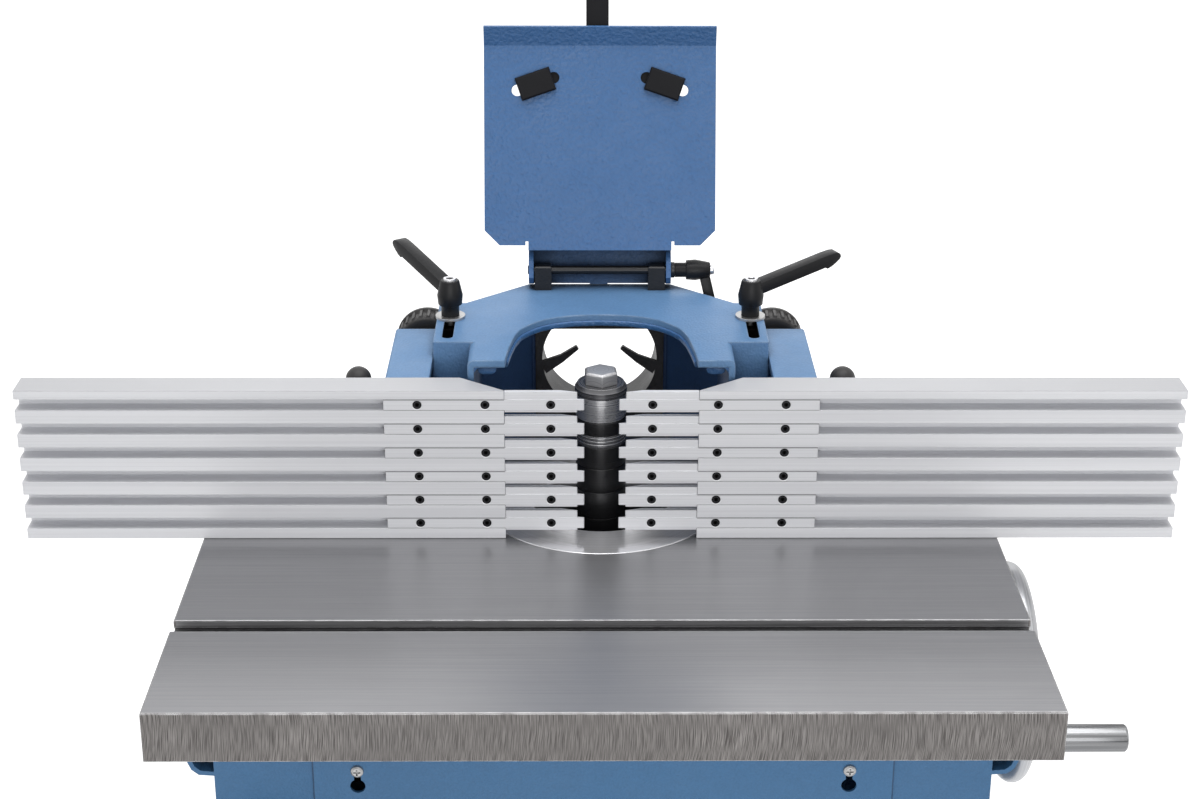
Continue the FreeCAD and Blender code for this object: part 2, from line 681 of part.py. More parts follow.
def cover():
    y0, y1 = COVER_FACE, COVER_FACE + COVER_SHEET
    w = COVER_HALF
    low, top = COVER_LOW, COVER_TOP
    edge = low + COVER_STEP
    right = [(TONGUE_HALF + 3, low), (TONGUE_HALF + 3, edge), (w - 15, edge), (w, edge + 15), (w, top)]
    sheet = front(right + [(-x, z) for x, z in reversed(right)], y0, y1)
    a = math.radians(LIP_BEND)
    dy, dz = -LIP * math.sin(a), LIP * math.cos(a)
    lip = side([(y0, top), (y1, top), (y1 + dy, top + dz + 1.5), (y0 + dy, top + dz)], -w, w)
    shelf = block(-TONGUE_HALF, TONGUE_HALF, y0, TONGUE_Y + COVER_SHEET, low, low + COVER_SHEET)
    tongue = block(-TONGUE_HALF, TONGUE_HALF, TONGUE_Y, TONGUE_Y + COVER_SHEET, -14, low + COVER_SHEET)
    stop = block(-10, 8, TONGUE_Y, TONGUE_Y + COVER_SHEET, -14.9, -13)
    ear = [(-8, -8), (-4, -14), (TONGUE_Y, -14), (TONGUE_Y, low + 1), (-2, low + 1), (-8, 8)]
    right_ear = side(ear, TONGUE_HALF - 5, TONGUE_HALF)
    body = join([sheet, lip, shelf, tongue, stop, right_ear, mirrored(right_ear)])
    cuts = [rod(PIN_R, -90, 0, 0, AX, 180)]
    for s in (-1, 1):
        cuts.append(cover_slot(s, 5.7, y0 - 1, y1 + 1))
        x0, x1 = sorted((s * TONGUE_HALF, s * (TONGUE_HALF + 3)))
        cuts.append(block(x0, x1, y0 - 1, y1 + 1, low - 1, edge + 4))
    return on_hinge(body.cut(cuts))


def hinge_blocks():
    blocks = []
    for s in (-1, 1):
        x0, x1 = sorted((s * 49, s * 66))
        lump = block(x0, x1, PIN_Y - 9, PIN_Y + 6, HOOD_TOP, PIN_Z + 6)
        top = edges_at(lump, lambda p: near(p.z, PIN_Z + 6))
        lump = lump.makeChamfer(1.2, top)
        blocks.append(lump.cut(rod(PIN_R + RUN, x0 - 1, PIN_Y, PIN_Z, AX, 20)))
    return blocks


def hinge_pin():
    left = -TONGUE_HALF - 1
    pin = rod(PIN_R, left, 0, 0, AX, LEVER_X + LEVER_BORE - 1 - left)
    washer = rod(8, TONGUE_HALF + 0.5, 0, 0, AX, LEVER_X - FREE - TONGUE_HALF - 0.5)
    return on_hinge(join([pin, washer]))


# Nuts on the inner face and the bolts that hold the bar holder on the outer face
def slot_nuts():
    nuts = []
    outer = COVER_FACE + COVER_SHEET
    for s in (-1, 1):
        nut = block(-18, 18, COVER_FACE - 6, COVER_FACE, -11.8, 11.8)
        nut = nut.makeChamfer(1.5, edges_at(nut, lambda p: near(p.y, COVER_FACE - 6)))
        bolt = rod(4, 0, COVER_FACE - 2, 0, AY, 20)
        head = hexagon(13, 0, outer + HOLDER_PLATE, 0, AY, 6)
        turned_nut = spun(join([nut, bolt, head]), AY, s * NUT_TURN)
        nuts.append(on_hinge(moved(turned_nut, s * NUT_X, 0, NUT_Z)))
    return nuts


def bar_holder():
    outer = COVER_FACE + COVER_SHEET
    seat = outer + HOLDER_PLATE
    right = [(74, NUT_Z - 16), (76, NUT_Z - 8), (74, NUT_Z + 18)]
    plate = front(right + [(-x, z) for x, z in reversed(right)], outer, seat)
    body = block(BAR_X - 21, BAR_X + 21, outer + 2, seat + BAR + 10, NUT_Z - 26, NUT_Z + 26)
    half = BAR / 2 + SLIDE
    cuts = [block(BAR_X - half, BAR_X + half, seat, seat + BAR + SLIDE, 0, 400)]
    for s in (-1, 1):
        cuts.append(rod(4 + SLIDE, s * NUT_X, outer - 1, NUT_Z, AY, 10))
    screw = rod(4, BAR_X, seat + BAR + 5, NUT_Z, AY, 16)
    knob = rod(14, BAR_X, seat + BAR + 18, NUT_Z, AY, 14)
    flutes = []
    for k in range(6):
        a = math.pi * k / 3
        x, z = BAR_X + 16 * math.cos(a), NUT_Z + 16 * math.sin(a)
        flutes.append(rod(4.5, x, seat + BAR + 17, z, AY, 16))
    return on_hinge(join([join([plate, body]).cut(cuts), screw, knob.cut(flutes)]))


def guard_bar():
    seat = COVER_FACE + COVER_SHEET + HOLDER_PLATE
    bar = block(BAR_X - BAR / 2, BAR_X + BAR / 2, seat, seat + BAR, BAR_LOW, BAR_HIGH)
    return on_hinge(bar)


# Clamp lever drawn with its hub on +Z and its arm along +X
def clamp_lever(hub_r, hub_h, arm, rise, low, thick, width):
    shape = [(0, 0), (0.7, 0), (0.7, 0.32), (0.93, 0.32), (1, 0.58), (0.76, 0.96), (0.7, 1), (0, 1)]
    hub = turned([(hub_r * r, hub_h * z) for r, z in shape])
    shape = [(0, 0), (0.83, 0), (0.84, -0.16), (0.93, 0.02), (1, 0.36), (1, 0.62)]
    shape += [(0.95, 0.93), (0.75, 1), (0, 1)]
    profile = [(arm * x, low + rise * x + thick * z) for x, z in shape]
    bar = front(profile, -width / 2, width / 2)
    spine = [e for e in bar.Edges if near(e.Vertexes[0].Y, e.Vertexes[1].Y) and e.CenterOfMass.x > arm * 0.1]
    middle = low + thick * 0.5
    spine = [e for e in spine if e.CenterOfMass.z > middle + rise / arm * e.CenterOfMass.x]
    return join([hub, bar.makeChamfer(width * 0.16, spine)])


def side_lever(s, back):
    lever = clamp_lever(12.6, 36, 97, 23.5, 20, 12.5, 14)
    lever = lever.cut(rod(STUD_R + FIT, 0, 0, -1, AZ, 24))
    screw = rod(6.4, 0, 0, 35, AZ, 3).cut(hexagon(5, 0, 0, 36.4, AZ, 4))
    turn = back if s > 0 else 180 - back
    both = spun(Part.makeCompound([lever, screw]), AZ, turn)
    return moved(both, s * STUD_X, STUD_Y, HOOD_TOP + 2.5)


def cover_lever():
    lever = clamp_lever(10.6, 36, 62, 15, 23.5, 11, 10)
    lever = lever.cut(rod(PIN_R + FIT, 0, 0, -1, AZ, LEVER_BORE + 1))
    screw = rod(4.8, 0, 0, 35, AZ, 5).cut(hexagon(4, 0, 0, 38, AZ, 4))
    both = spun(Part.makeCompound([lever, screw]), AY, 90)
    return moved(spun(both, AX, -4), LEVER_X, PIN_Y, PIN_Z)


# Carrier: wing, tongue under the slotted shoulder, screw lug and fence flange
def carrier():
    under = WING_TOP - 8
    inner = SHOULDER_OUT + 0.6
    wing = block(inner, WING_OUT, FENCE_BACK, WING_BACK, under, WING_TOP)
    wing = wing.makeFillet(3, edges_at(wing, lambda p: near(p.x, WING_OUT) and near(p.z, WING_TOP)))
    tongue = block(STUD_X - 14, inner + 4, STUD_Y - 14, WING_BACK, under, HOOD_TOP - HOOD_PLATE - FREE)
    tongue = tongue.cut(block(SHOULDER_OUT - 2, inner + 5, FENCE_BACK, WING_BACK + 1, WING_TOP, HOOD_TOP + 1))
    lug = block(ADJUST_X - 11, ADJUST_X + 13, 438, 458, ADJUST_Z - 14, under)
    flange = block(136, 276, FENCE_BACK, FENCE_BACK + 10, 14, under + 4)
    web = side([(FENCE_BACK + 8, 40), (FENCE_BACK + 8, under + 1), (438, under + 1)], 190, 198)
    body = join([wing, tongue, lug, flange, web])
    cuts = [rod(ADJUST_R + RUN, ADJUST_X, 430, ADJUST_Z, AY, 40)]
    cuts.append(rod(STUD_R, STUD_X, STUD_Y, under - 1, AZ, 30))
    for x in FENCE_BOLTS:
        cuts.append(rod(4 + FIT, x, FENCE_BACK - 1, FENCE_SLOT_Z, AY, 20))
    return body.cut(cuts)


def carrier_bolts():
    stud = rod(STUD_R, STUD_X, STUD_Y, WING_TOP - 8, AZ, HOOD_TOP - WING_TOP + 30)
    washer = tube(14.5, STUD_R + SLIDE, STUD_X, STUD_Y, HOOD_TOP, AZ, 2.5)
    bolts = [stud, washer]
    for x in FENCE_BOLTS:
        head = block(x - 7, x + 7, FENCE_BACK - 9.5, FENCE_BACK - 5, FENCE_SLOT_Z - 7, FENCE_SLOT_Z + 7)
        shank = rod(4, x, FENCE_BACK - 6, FENCE_SLOT_Z, AY, 26)
        nut = hexagon(13, x, FENCE_BACK + 10, FENCE_SLOT_Z, AY, 8)
        bolts.append(join([head, shank, nut]))
    return bolts


def adjuster():
    knob_y = SHOULDER_BACK + 2
    screw = rod(ADJUST_R, ADJUST_X, 398, ADJUST_Z, AY, knob_y - 390)
    collar = rod(10, ADJUST_X, WING_BACK - 6, ADJUST_Z, AY, 9 - FREE)
    sleeve = rod(12, ADJUST_X, SHOULDER_BACK - 5 + FREE, ADJUST_Z, AY, 8)
    return join([screw, collar, sleeve, moved(grip_knob(), ADJUST_X, knob_y, ADJUST_Z)])


# Moulded grip: fluted drum with a plain rim behind it and a dished face
def grip_knob():
    profile = [(0, 4), (18, 4), (23, 0), (28, 0), (30, 2), (30, 20), (31.5, 21), (31.5, 25), (30.5, 26)]
    profile.append((0, 26))
    drum, flutes = spun(turned(profile), AX, -90), []
    for k in range(24):
        flutes.append(spun(rod(2.2, 31.2, -1, 0, AY, 20), AY, 15.0 * k))
    return drum.cut(flutes)


# Ball lever that clamps the housing to the table
def table_clamp():
    x, y = CLAMP_X, CLAMP_Y
    stud = rod(6, x, y, -22, AZ, 40)
    foot = moved(turned([(0, 0), (16, 0), (16, 3), (11, 4), (11, 26), (8, 30), (0, 30)]), x, y, 12 + FREE)
    ball = V(x - 4, y - 30, 121)
    root = V(x, y - 2, 30)
    arm = Part.makeCone(6, 5, (ball - root).Length, root, ball - root)
    return join([stud, foot, arm, Part.makeSphere(12.5, ball)])


# Fence half drawn on the right: ribbed face, back slot and slanted inner end
def fence_half():
    low = FREE
    face, back = FENCE_FACE, FENCE_BACK
    body = block(FENCE_INNER, FENCE_OUTER, face, back, low, FENCE_HEIGHT)
    inner, slant = FENCE_INNER - 1, FENCE_INNER + 42
    corners = [(inner, back + 1), (inner, face + 0.64), (slant, back), (slant, back + 1)]
    cuts = [plan(corners, -1, FENCE_HEIGHT + 1)]
    for k in range(GROOVES):
        z = GROOVE_LOW + RIB_PITCH * k
        cuts.append(block(0, PAST_FENCE, face - 1, face + GROOVE_DEEP, z, z + GROOVE_HIGH))
    z = FENCE_SLOT_Z
    cuts.append(block(0, PAST_FENCE, back - 6, back + 1, z - 4.5, z + 4.5))
    cuts.append(block(0, PAST_FENCE, back - 10, back - 4.5, z - 7.6, z + 7.6))
    return body.cut(cuts)


# Finger k slides in groove k; its tip plate is taller than its bar and stops short of the bar's end
def finger(k):
    low = GROOVE_LOW + RIB_PITCH * k
    face = FENCE_FACE
    back = face + GROOVE_DEEP - SLIDE
    thin = face + FINGER_THICK
    start = [(38, thin), (FINGER_TIP, face + 1.5)]
    outline = [(FINGER_TIP + 0.5, face), (FINGER_TAIL, face), (FINGER_TAIL, back), (113, back), (97, thin)]
    bar = plan(outline + start, low + SLIDE, low + GROOVE_HIGH - SLIDE)
    edge = FENCE_INNER - FREE
    short = FINGER_TIP + TIP_STEP
    outline = [(short + 0.5, face + 0.8), (edge, face + 0.8), (edge, thin), (38, thin), (short, face + 1.5)]
    tip = plan(outline, low - 2, low + 18)
    body = join([bar, tip])
    mid = low + GROOVE_HIGH / 2
    screws = []
    for x in FINGER_SCREWS:
        sink = turned([(0, -1), (4.6, -1), (4.6, 0.2), (2.6, 3), (2.6, 5), (0, 5)])
        body = body.cut(moved(spun(sink, AX, -90), x, face, mid))
        head = turned([(0, 0.4), (4.4, 0.4), (2.5, 3), (2.5, 4.9), (0, 4.9)])
        head = moved(spun(head, AX, -90), x, face, mid)
        screws.append(head.cut(hexagon(3, x, face - 1, mid, AY, 3)))
    return [body] + screws


def save_fence():
    save("fence_housing", fence_housing())
    save("dust_port", dust_port())
    pairs = {"carrier": carrier(), "adjuster": adjuster()}
    pairs.update({"table_clamp": table_clamp(), "fence": fence_half()})
    for name, shape in pairs.items():
        save("right_" + name, shape)
        save("left_" + name, mirrored(shape))
    bolts = carrier_bolts()
    save("right_carrier_bolts", bolts)
    save("left_carrier_bolts", [mirrored(b) for b in bolts])
    save("right_clamp_lever", side_lever(1, 24.2))
    save("left_clamp_lever", side_lever(-1, 54.7))
    for k in range(GROOVES):
        shapes = finger(k)
        save("finger_right_%d" % (k + 1), shapes)
        save("finger_left_%d" % (k + 1), [mirrored(s) for s in shapes])


def save_cover():
    save("hinge_blocks", hinge_blocks())
    save("cover", cover())
    save("hinge_pin", hinge_pin())
    save("slot_nuts", slot_nuts())
    save("bar_holder", bar_holder())
    save("guard_bar", guard_bar())
    save("cover_lever", cover_lever())


def save_stand():
    save("cabinet_shell", cabinet_shell())
    save("front_panel", front_panel())
    save("panel_screws", panel_screws())
    save("table", table())
    save("table_bolts", table_bolts())
    save("insert_ring", insert_ring())
    save("switch_box", switch_box())
    save("start_button", button(START_Z, 9.5, 6))
    save("stop_button", button(STOP_Z, 14, 9))


def save_lift():
    save("quill_guide", quill_guide())
    save("quill", quill())
    save("spindle_bearings", spindle_bearings())
    save("motor_bracket", motor_bracket())
    save("motor", motor())
    save("motor_shaft", rod(12, MOTOR_X, SPINDLE_Y, PULLEY_LOW - 4, AZ, QUILL_BOTTOM + 70 - PULLEY_LOW + 4))
    save("motor_pulley", pulley(MOTOR_PULLEY_R, 12, MOTOR_X))
    save("spindle_pulley", pulley(SPINDLE_PULLEY_R, ARBOR_R, 0))
    save("drive_belt", drive_belt())
    save("spindle", spindle())
    save("spindle_rings", spindle_rings())
    save("clamp_cap", clamp_cap())
    save("spindle_bolt", spindle_bolt())
    save("lift_screw", lift_screw())
    save("wheel_shaft", wheel_shaft())
    save("wheel_bush", wheel_bush())
    save("handwheel", handwheel())
    save("crank_handle", crank_handle())


os.makedirs("parts", exist_ok=True)
save_stand()
save_lift()
save_fence()
save_cover()
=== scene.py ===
import math
import bmesh
import bpy
from mathutils import Matrix, Vector


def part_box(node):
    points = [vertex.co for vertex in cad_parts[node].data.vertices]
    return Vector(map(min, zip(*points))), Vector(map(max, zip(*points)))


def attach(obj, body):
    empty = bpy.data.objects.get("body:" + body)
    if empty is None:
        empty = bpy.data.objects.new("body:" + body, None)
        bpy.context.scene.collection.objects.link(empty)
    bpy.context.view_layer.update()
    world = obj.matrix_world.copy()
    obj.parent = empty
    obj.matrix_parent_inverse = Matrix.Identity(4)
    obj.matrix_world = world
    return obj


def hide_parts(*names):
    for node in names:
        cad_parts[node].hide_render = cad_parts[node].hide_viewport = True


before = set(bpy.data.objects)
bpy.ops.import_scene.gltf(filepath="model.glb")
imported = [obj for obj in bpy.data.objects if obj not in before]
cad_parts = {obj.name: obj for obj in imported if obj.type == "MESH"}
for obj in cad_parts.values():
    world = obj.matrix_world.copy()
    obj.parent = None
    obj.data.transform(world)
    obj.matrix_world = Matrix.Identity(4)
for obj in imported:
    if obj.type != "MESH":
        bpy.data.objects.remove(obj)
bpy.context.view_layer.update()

# Places are given in millimetres across, back from the table's front edge, and above its top
MM = 0.001
TABLE_LOW, TABLE_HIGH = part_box("table")
SPINDLE_BACK = 403.0
WHEEL_BACK = 293.0
WHEEL_UP = -127.0

# Fitted camera of the photograph, which is 1200 pixels wide
PHOTO_WIDTH = 1200
FOCAL_PIXELS = 2162.34
CAMERA_SPOT = (-19.042, -1518.638, 893.536)
CAMERA_DOWN = 0.387832
CAMERA_ASIDE = 0.009471
CAMERA_ROLL = -0.003371
SENSOR = 36.0

SHARP = math.radians(32)
SKY = 0.3


def spot(across, back, up):
    return Vector((across * MM, TABLE_LOW.y + back * MM, TABLE_HIGH.z + up * MM))


# Node helpers


def put(tree, kind, given=None, **settings):
    """Adds a node, gives it its settings, and sets or links its inputs."""
    node = tree.nodes.new("ShaderNode" + kind)
    for key, value in settings.items():
        setattr(node, key, value)
    for key, value in (given or {}).items():
        if isinstance(value, bpy.types.NodeSocket):
            tree.links.new(value, node.inputs[key])
        else:
            node.inputs[key].default_value = value
    return node


def maths(tree, operation, a, b=0.0):
    return put(tree, "Math", {0: a, 1: b}, operation=operation).outputs[0]


def times(tree, a, b):
    return maths(tree, "MULTIPLY", a, b)


def plus(tree, a, b):
    return maths(tree, "ADD", a, b)


def mixed(tree, factor, a, b):
    return put(tree, "Mix", {0: factor, 6: a, 7: b}, data_type="RGBA").outputs[2]


def blended(tree, factor, a, b):
    return put(tree, "Mix", {0: factor, 2: a, 3: b}, data_type="FLOAT").outputs[0]


def spread(tree, value, from_low, from_high, low=0.0, high=1.0):
    given = {"Value": value, "From Min": from_low, "From Max": from_high}
    return put(tree, "MapRange", {**given, "To Min": low, "To Max": high}).outputs[0]


def cloud(tree, vector, scale, detail=2.0, rough=0.5):
    given = {"Vector": vector, "Scale": scale, "Detail": detail, "Roughness": rough}
    return put(tree, "TexNoise", given).outputs[0]


def streak(tree, along, scale, detail=2.0):
    given = {"W": along, "Scale": scale, "Detail": detail}
    return put(tree, "TexNoise", given, noise_dimensions="1D").outputs[0]


def stretched(tree, vector, stretch):
    return put(tree, "VectorMath", {0: vector, 1: stretch}, operation="MULTIPLY").outputs[0]


def split(tree, vector):
    return put(tree, "SeparateXYZ", {0: vector}).outputs


def dotted(tree, a, b):
    return put(tree, "VectorMath", {0: a, 1: b}, operation="DOT_PRODUCT").outputs["Value"]


def here(tree):
    return put(tree, "TexCoord").outputs["Object"]


def away_from(tree, centre):
    """Where a point lies as seen from a centre."""
    given = {0: here(tree), 1: tuple(centre)}
    return put(tree, "VectorMath", given, operation="SUBTRACT").outputs[0]


def effect(name, given, results):
    """Starts a shader node group with named inputs and outputs."""
    tree = bpy.data.node_groups.new(name, "ShaderNodeTree")
    for key, value in given.items():
        kind = "NodeSocketVector" if isinstance(value, tuple) else "NodeSocketFloat"
        socket = tree.interface.new_socket(key, in_out="INPUT", socket_type=kind)
        socket.default_value = value
    for key, kind in results.items():
        tree.interface.new_socket(key, in_out="OUTPUT", socket_type="NodeSocket" + kind)
    start = tree.nodes.new("NodeGroupInput")
    end = tree.nodes.new("NodeGroupOutput")
    return tree, start.outputs, end.inputs


def use(tree, group, **given):
    """Places an effect in a material with its own values and gives back its outputs."""
    node = tree.nodes.new("ShaderNodeGroup")
    node.node_tree = group
    for key, value in given.items():
        if isinstance(value, bpy.types.NodeSocket):
            tree.links.new(value, node.inputs[key])
        else:
            node.inputs[key].default_value = value
    return node.outputs


# Shared effects


def make_edge_mask():
    """Rounded edges, and a patchy mask along them: the paints are rubbed there, the other finishes
    take it for a painted highlight, and the fingers for a painted seam shade.
    """
    tree, given, results = effect(
        "edge_band", {"Radius": 0.0008, "Patches": 45.0}, {"EdgeMask": "Float", "Normal": "Vector"}
    )
    rounded = put(tree, "Bevel", {"Radius": given["Radius"]}, samples=5).outputs[0]
    plain = put(tree, "NewGeometry").outputs["Normal"]
    along = dotted(tree, rounded, plain)
    edge = spread(tree, along, 0.985, 0.78)
    patches = spread(tree, cloud(tree, here(tree), given["Patches"], 4.0), 0.4, 0.65, 0.15, 1.0)
    tree.links.new(times(tree, edge, patches), results["EdgeMask"])
    tree.links.new(rounded, results["Normal"])
    return tree


def make_paint_skin():
    """The fine pebble of sprayed paint, its slow change of tone and its uneven gloss."""
    tree, given, results = effect(
        "paint_skin", {"Pebble": 520.0}, {"Tone": "Float", "Haze": "Float", "Pebbles": "Float"}
    )
    place = here(tree)
    tree.links.new(cloud(tree, place, 4.5, 3.0), results["Tone"])
    tree.links.new(cloud(tree, place, 26.0, 5.0, 0.6), results["Haze"])
    fine = cloud(tree, place, given["Pebble"], 1.5, 0.4)
    coarse = times(tree, cloud(tree, place, 95.0, 2.0), 0.5)
    tree.links.new(plus(tree, fine, coarse), results["Pebbles"])
    return tree


def make_drawn_lines():
    """Lines left by drawing or grinding along one direction."""
    tree, given, results = effect(
        "drawn_lines", {"Stretch": (3.0, 900.0, 900.0)}, {"Line": "Float", "Band": "Float"}
    )
    place = stretched(tree, here(tree), given["Stretch"])
    tree.links.new(cloud(tree, place, 1.0, 4.0, 0.65), results["Line"])
    tree.links.new(cloud(tree, place, 0.09, 3.0), results["Band"])
    return tree


def make_turned_lines():
    """Rings left by a lathe round the Z axis of the vector given."""
    tree, given, results = effect(
        "turned_lines",
        {"Vector": (0.0, 0.0, 0.0), "Fineness": 900.0},
        {"Ring": "Float", "Sweep": "Float"},
    )
    x, y, z = split(tree, given["Vector"])
    square = plus(tree, maths(tree, "POWER", x, 2.0), maths(tree, "POWER", y, 2.0))
    along = plus(tree, maths(tree, "SQRT", square), z)
    tree.links.new(streak(tree, along, given["Fineness"], 3.0), results["Ring"])
    bearing = maths(tree, "ARCTAN2", y, x)
    tree.links.new(streak(tree, bearing, 1.4, 2.0), results["Sweep"])
    return tree


def make_mill_arcs():
    """Broken, slightly bent streaks that a large face cutter leaves on an upright face."""
    tree, given, results = effect(
        "mill_arcs",
        {"Fineness": 1900.0, "Curve": 2.4, "Level": 0.83},
        {"Arc": "Float", "Patch": "Float"},
    )
    x, y, z = split(tree, here(tree))
    rise = maths(tree, "SUBTRACT", z, given["Level"])
    bend = times(tree, maths(tree, "POWER", rise, 2.0), given["Curve"])
    wander = times(tree, cloud(tree, here(tree), 16.0, 2.0), 0.006)
    across = plus(tree, plus(tree, plus(tree, x, y), bend), wander)
    place = put(tree, "CombineXYZ", {0: across, 2: times(tree, rise, 0.022)}).outputs[0]
    tree.links.new(cloud(tree, place, given["Fineness"], 2.0, 0.5), results["Arc"])
    tree.links.new(cloud(tree, here(tree), 14.0, 4.0, 0.6), results["Patch"])
    return tree


def make_crevice_shade():
    """Painted shade in slots, gaps and inner corners, where ambient occlusion finds them shut in,
    broken up by noise.
    """
    tree, given, results = effect("crevices", {"Reach": 0.03, "Open": 0.62}, {"Dark": "Float"})
    sky = put(tree, "AmbientOcclusion", {"Distance": given["Reach"]}, samples=8).outputs["AO"]
    shut = spread(tree, sky, given["Open"], 0.28)
    broken = spread(tree, cloud(tree, here(tree), 55.0, 3.0), 0.3, 0.7, 0.85, 1.0)
    tree.links.new(times(tree, shut, broken), results["Dark"])
    return tree


def make_handling():
    """Faint smears from hands and shop dust."""
    tree, given, results = effect("handling", {"Smear": 11.0}, {"Smears": "Float"})
    swirl = {"Vector": here(tree), "Scale": given["Smear"], "Detail": 5.0, "Distortion": 1.2}
    smear = put(tree, "TexNoise", swirl).outputs[0]
    tree.links.new(spread(tree, smear, 0.35, 0.75), results["Smears"])
    return tree


EDGE_MASK = make_edge_mask()
PAINT_SKIN = make_paint_skin()
DRAWN_LINES = make_drawn_lines()
TURNED_LINES = make_turned_lines()
MILL_ARCS = make_mill_arcs()
HANDLING = make_handling()
CREVICE_SHADE = make_crevice_shade()


# Finishes: colours are linear, and noise does most of its changing between these two levels

NOISE = (0.3, 0.7)
# Painted shade that bare metal takes in its crevices
METAL_CREVICE_SHADE = (0.02, 0.02, 0.022, 1.0)


def tinted(colour, share, more=0.0):
    """A colour scaled and raised, kept at white or below."""
    return tuple(min(1.0, share * c + more) for c in colour[:3]) + (1.0,)


def new_finish(name, metallic, shine=0.5):
    finish = bpy.data.materials.new(name)
    finish.use_nodes = True
    tree = finish.node_tree
    shader = tree.nodes["Principled BSDF"]
    shader.inputs["Metallic"].default_value = metallic
    shader.inputs["Specular IOR Level"].default_value = shine
    return finish, tree, shader


def settle(tree, shader, colour, rough, height, strength, depth, normal):
    """Links a finish's colour, roughness and surface relief to its shader."""
    tree.links.new(colour, shader.inputs["Base Color"])
    tree.links.new(rough, shader.inputs["Roughness"])
    given = {"Height": height, "Strength": strength, "Distance": depth, "Normal": normal}
    relief = put(tree, "Bump", given)
    tree.links.new(relief.outputs[0], shader.inputs["Normal"])


def stain(finish, mask, colour):
    """Lays a colour over a finish where the mask is set."""
    shader = finish.node_tree.nodes["Principled BSDF"]
    body = shader.inputs["Base Color"].links[0].from_socket
    body = mixed(finish.node_tree, mask, body, colour)
    finish.node_tree.links.new(body, shader.inputs["Base Color"])


def painted(name, colour, primer, rough, rub=0.35, pebble=520.0, edges=0.0009, relief=0.7,
            reach=0.028):
    """Sprayed paint, rubbed at its edges, with painted shade in its crevices."""
    finish, tree, shader = new_finish(name, 0.0, 0.45)
    skin = use(tree, PAINT_SKIN, Pebble=pebble)
    edge = use(tree, EDGE_MASK, Radius=edges)
    marks = use(tree, HANDLING)
    shut = use(tree, CREVICE_SHADE, Reach=reach)
    shade = tinted(colour, 0.84)
    tone = times(tree, plus(tree, skin["Tone"], skin["Pebbles"]), 0.5)
    body = mixed(tree, spread(tree, tone, 0.45, 0.8), shade, colour)
    body = mixed(tree, times(tree, edge["EdgeMask"], rub), body, primer)
    # Painted shade: crevices are darkened to a near-black tone of the paint
    body = mixed(tree, times(tree, shut["Dark"], 0.96), body, tinted(colour, 0.06))
    gloss = spread(tree, skin["Haze"], *NOISE, rough - 0.05, rough + 0.05)
    gloss = plus(tree, gloss, times(tree, marks["Smears"], 0.06))
    gloss = plus(tree, gloss, times(tree, shut["Dark"], 0.4))
    settle(tree, shader, body, gloss, skin["Pebbles"], relief, 0.0005, edge["Normal"])
    return finish


def moulded(name, colour, rough, pebble=1400.0, shine=0.3):
    """Moulded plastic or rubber, paler at its edges as a painted highlight."""
    finish, tree, shader = new_finish(name, 0.0, shine)
    skin = use(tree, PAINT_SKIN, Pebble=pebble)
    edge = use(tree, EDGE_MASK, Radius=0.0006, Patches=90.0)
    marks = use(tree, HANDLING, Smear=30.0)
    # Painted highlight on the edges, with some random tone
    edge_highlight_and_tone = times(tree, edge["EdgeMask"], 0.5)
    edge_highlight_and_tone = plus(tree, edge_highlight_and_tone, times(tree, skin["Tone"], 0.09))
    body = mixed(tree, edge_highlight_and_tone, colour, tinted(colour, 2.6, 0.05))
    gloss = spread(tree, marks["Smears"], 0.0, 1.0, rough, rough + 0.12)
    settle(tree, shader, body, gloss, skin["Pebbles"], 0.16, 0.0003, edge["Normal"])
    return finish


def drawn_metal(name, colour, shade, rough, metallic, stretch=(3.0, 900.0, 900.0), edges=1.25,
                shade_above=None):
    """Drawn bar; what lies above the height given is darkened, a painted shade on its top."""
    finish, tree, shader = new_finish(name, metallic)
    lines = use(tree, DRAWN_LINES, Stretch=stretch)
    edge = use(tree, EDGE_MASK, Radius=0.0006)
    marks = use(tree, HANDLING)
    shut = use(tree, CREVICE_SHADE, Reach=0.006, Open=0.5)
    band = times(tree, lines["Band"], 0.4)
    tone = plus(tree, times(tree, lines["Line"], 0.6), band)
    body = mixed(tree, spread(tree, tone, 0.35, 0.65), shade, colour)
    if shade_above is not None:
        # Painted shade on the top face
        top_shade = spread(tree, split(tree, here(tree))["Z"], shade_above - 0.0004, shade_above)
        body = mixed(tree, top_shade, body, tinted(shade, 0.76))
    # Edges take the share edges of the colour: above 1 a painted highlight, below 1 a painted shade
    body = mixed(tree, times(tree, edge["EdgeMask"], 0.6), body, tinted(colour, edges))
    # Painted shade in the crevices
    body = mixed(tree, times(tree, shut["Dark"], 0.9), body, METAL_CREVICE_SHADE)
    gloss = spread(tree, lines["Line"], *NOISE, rough - 0.05, rough + 0.06)
    gloss = plus(tree, gloss, times(tree, marks["Smears"], 0.05))
    settle(tree, shader, body, gloss, lines["Line"], 0.06, 0.0002, edge["Normal"])
    return finish


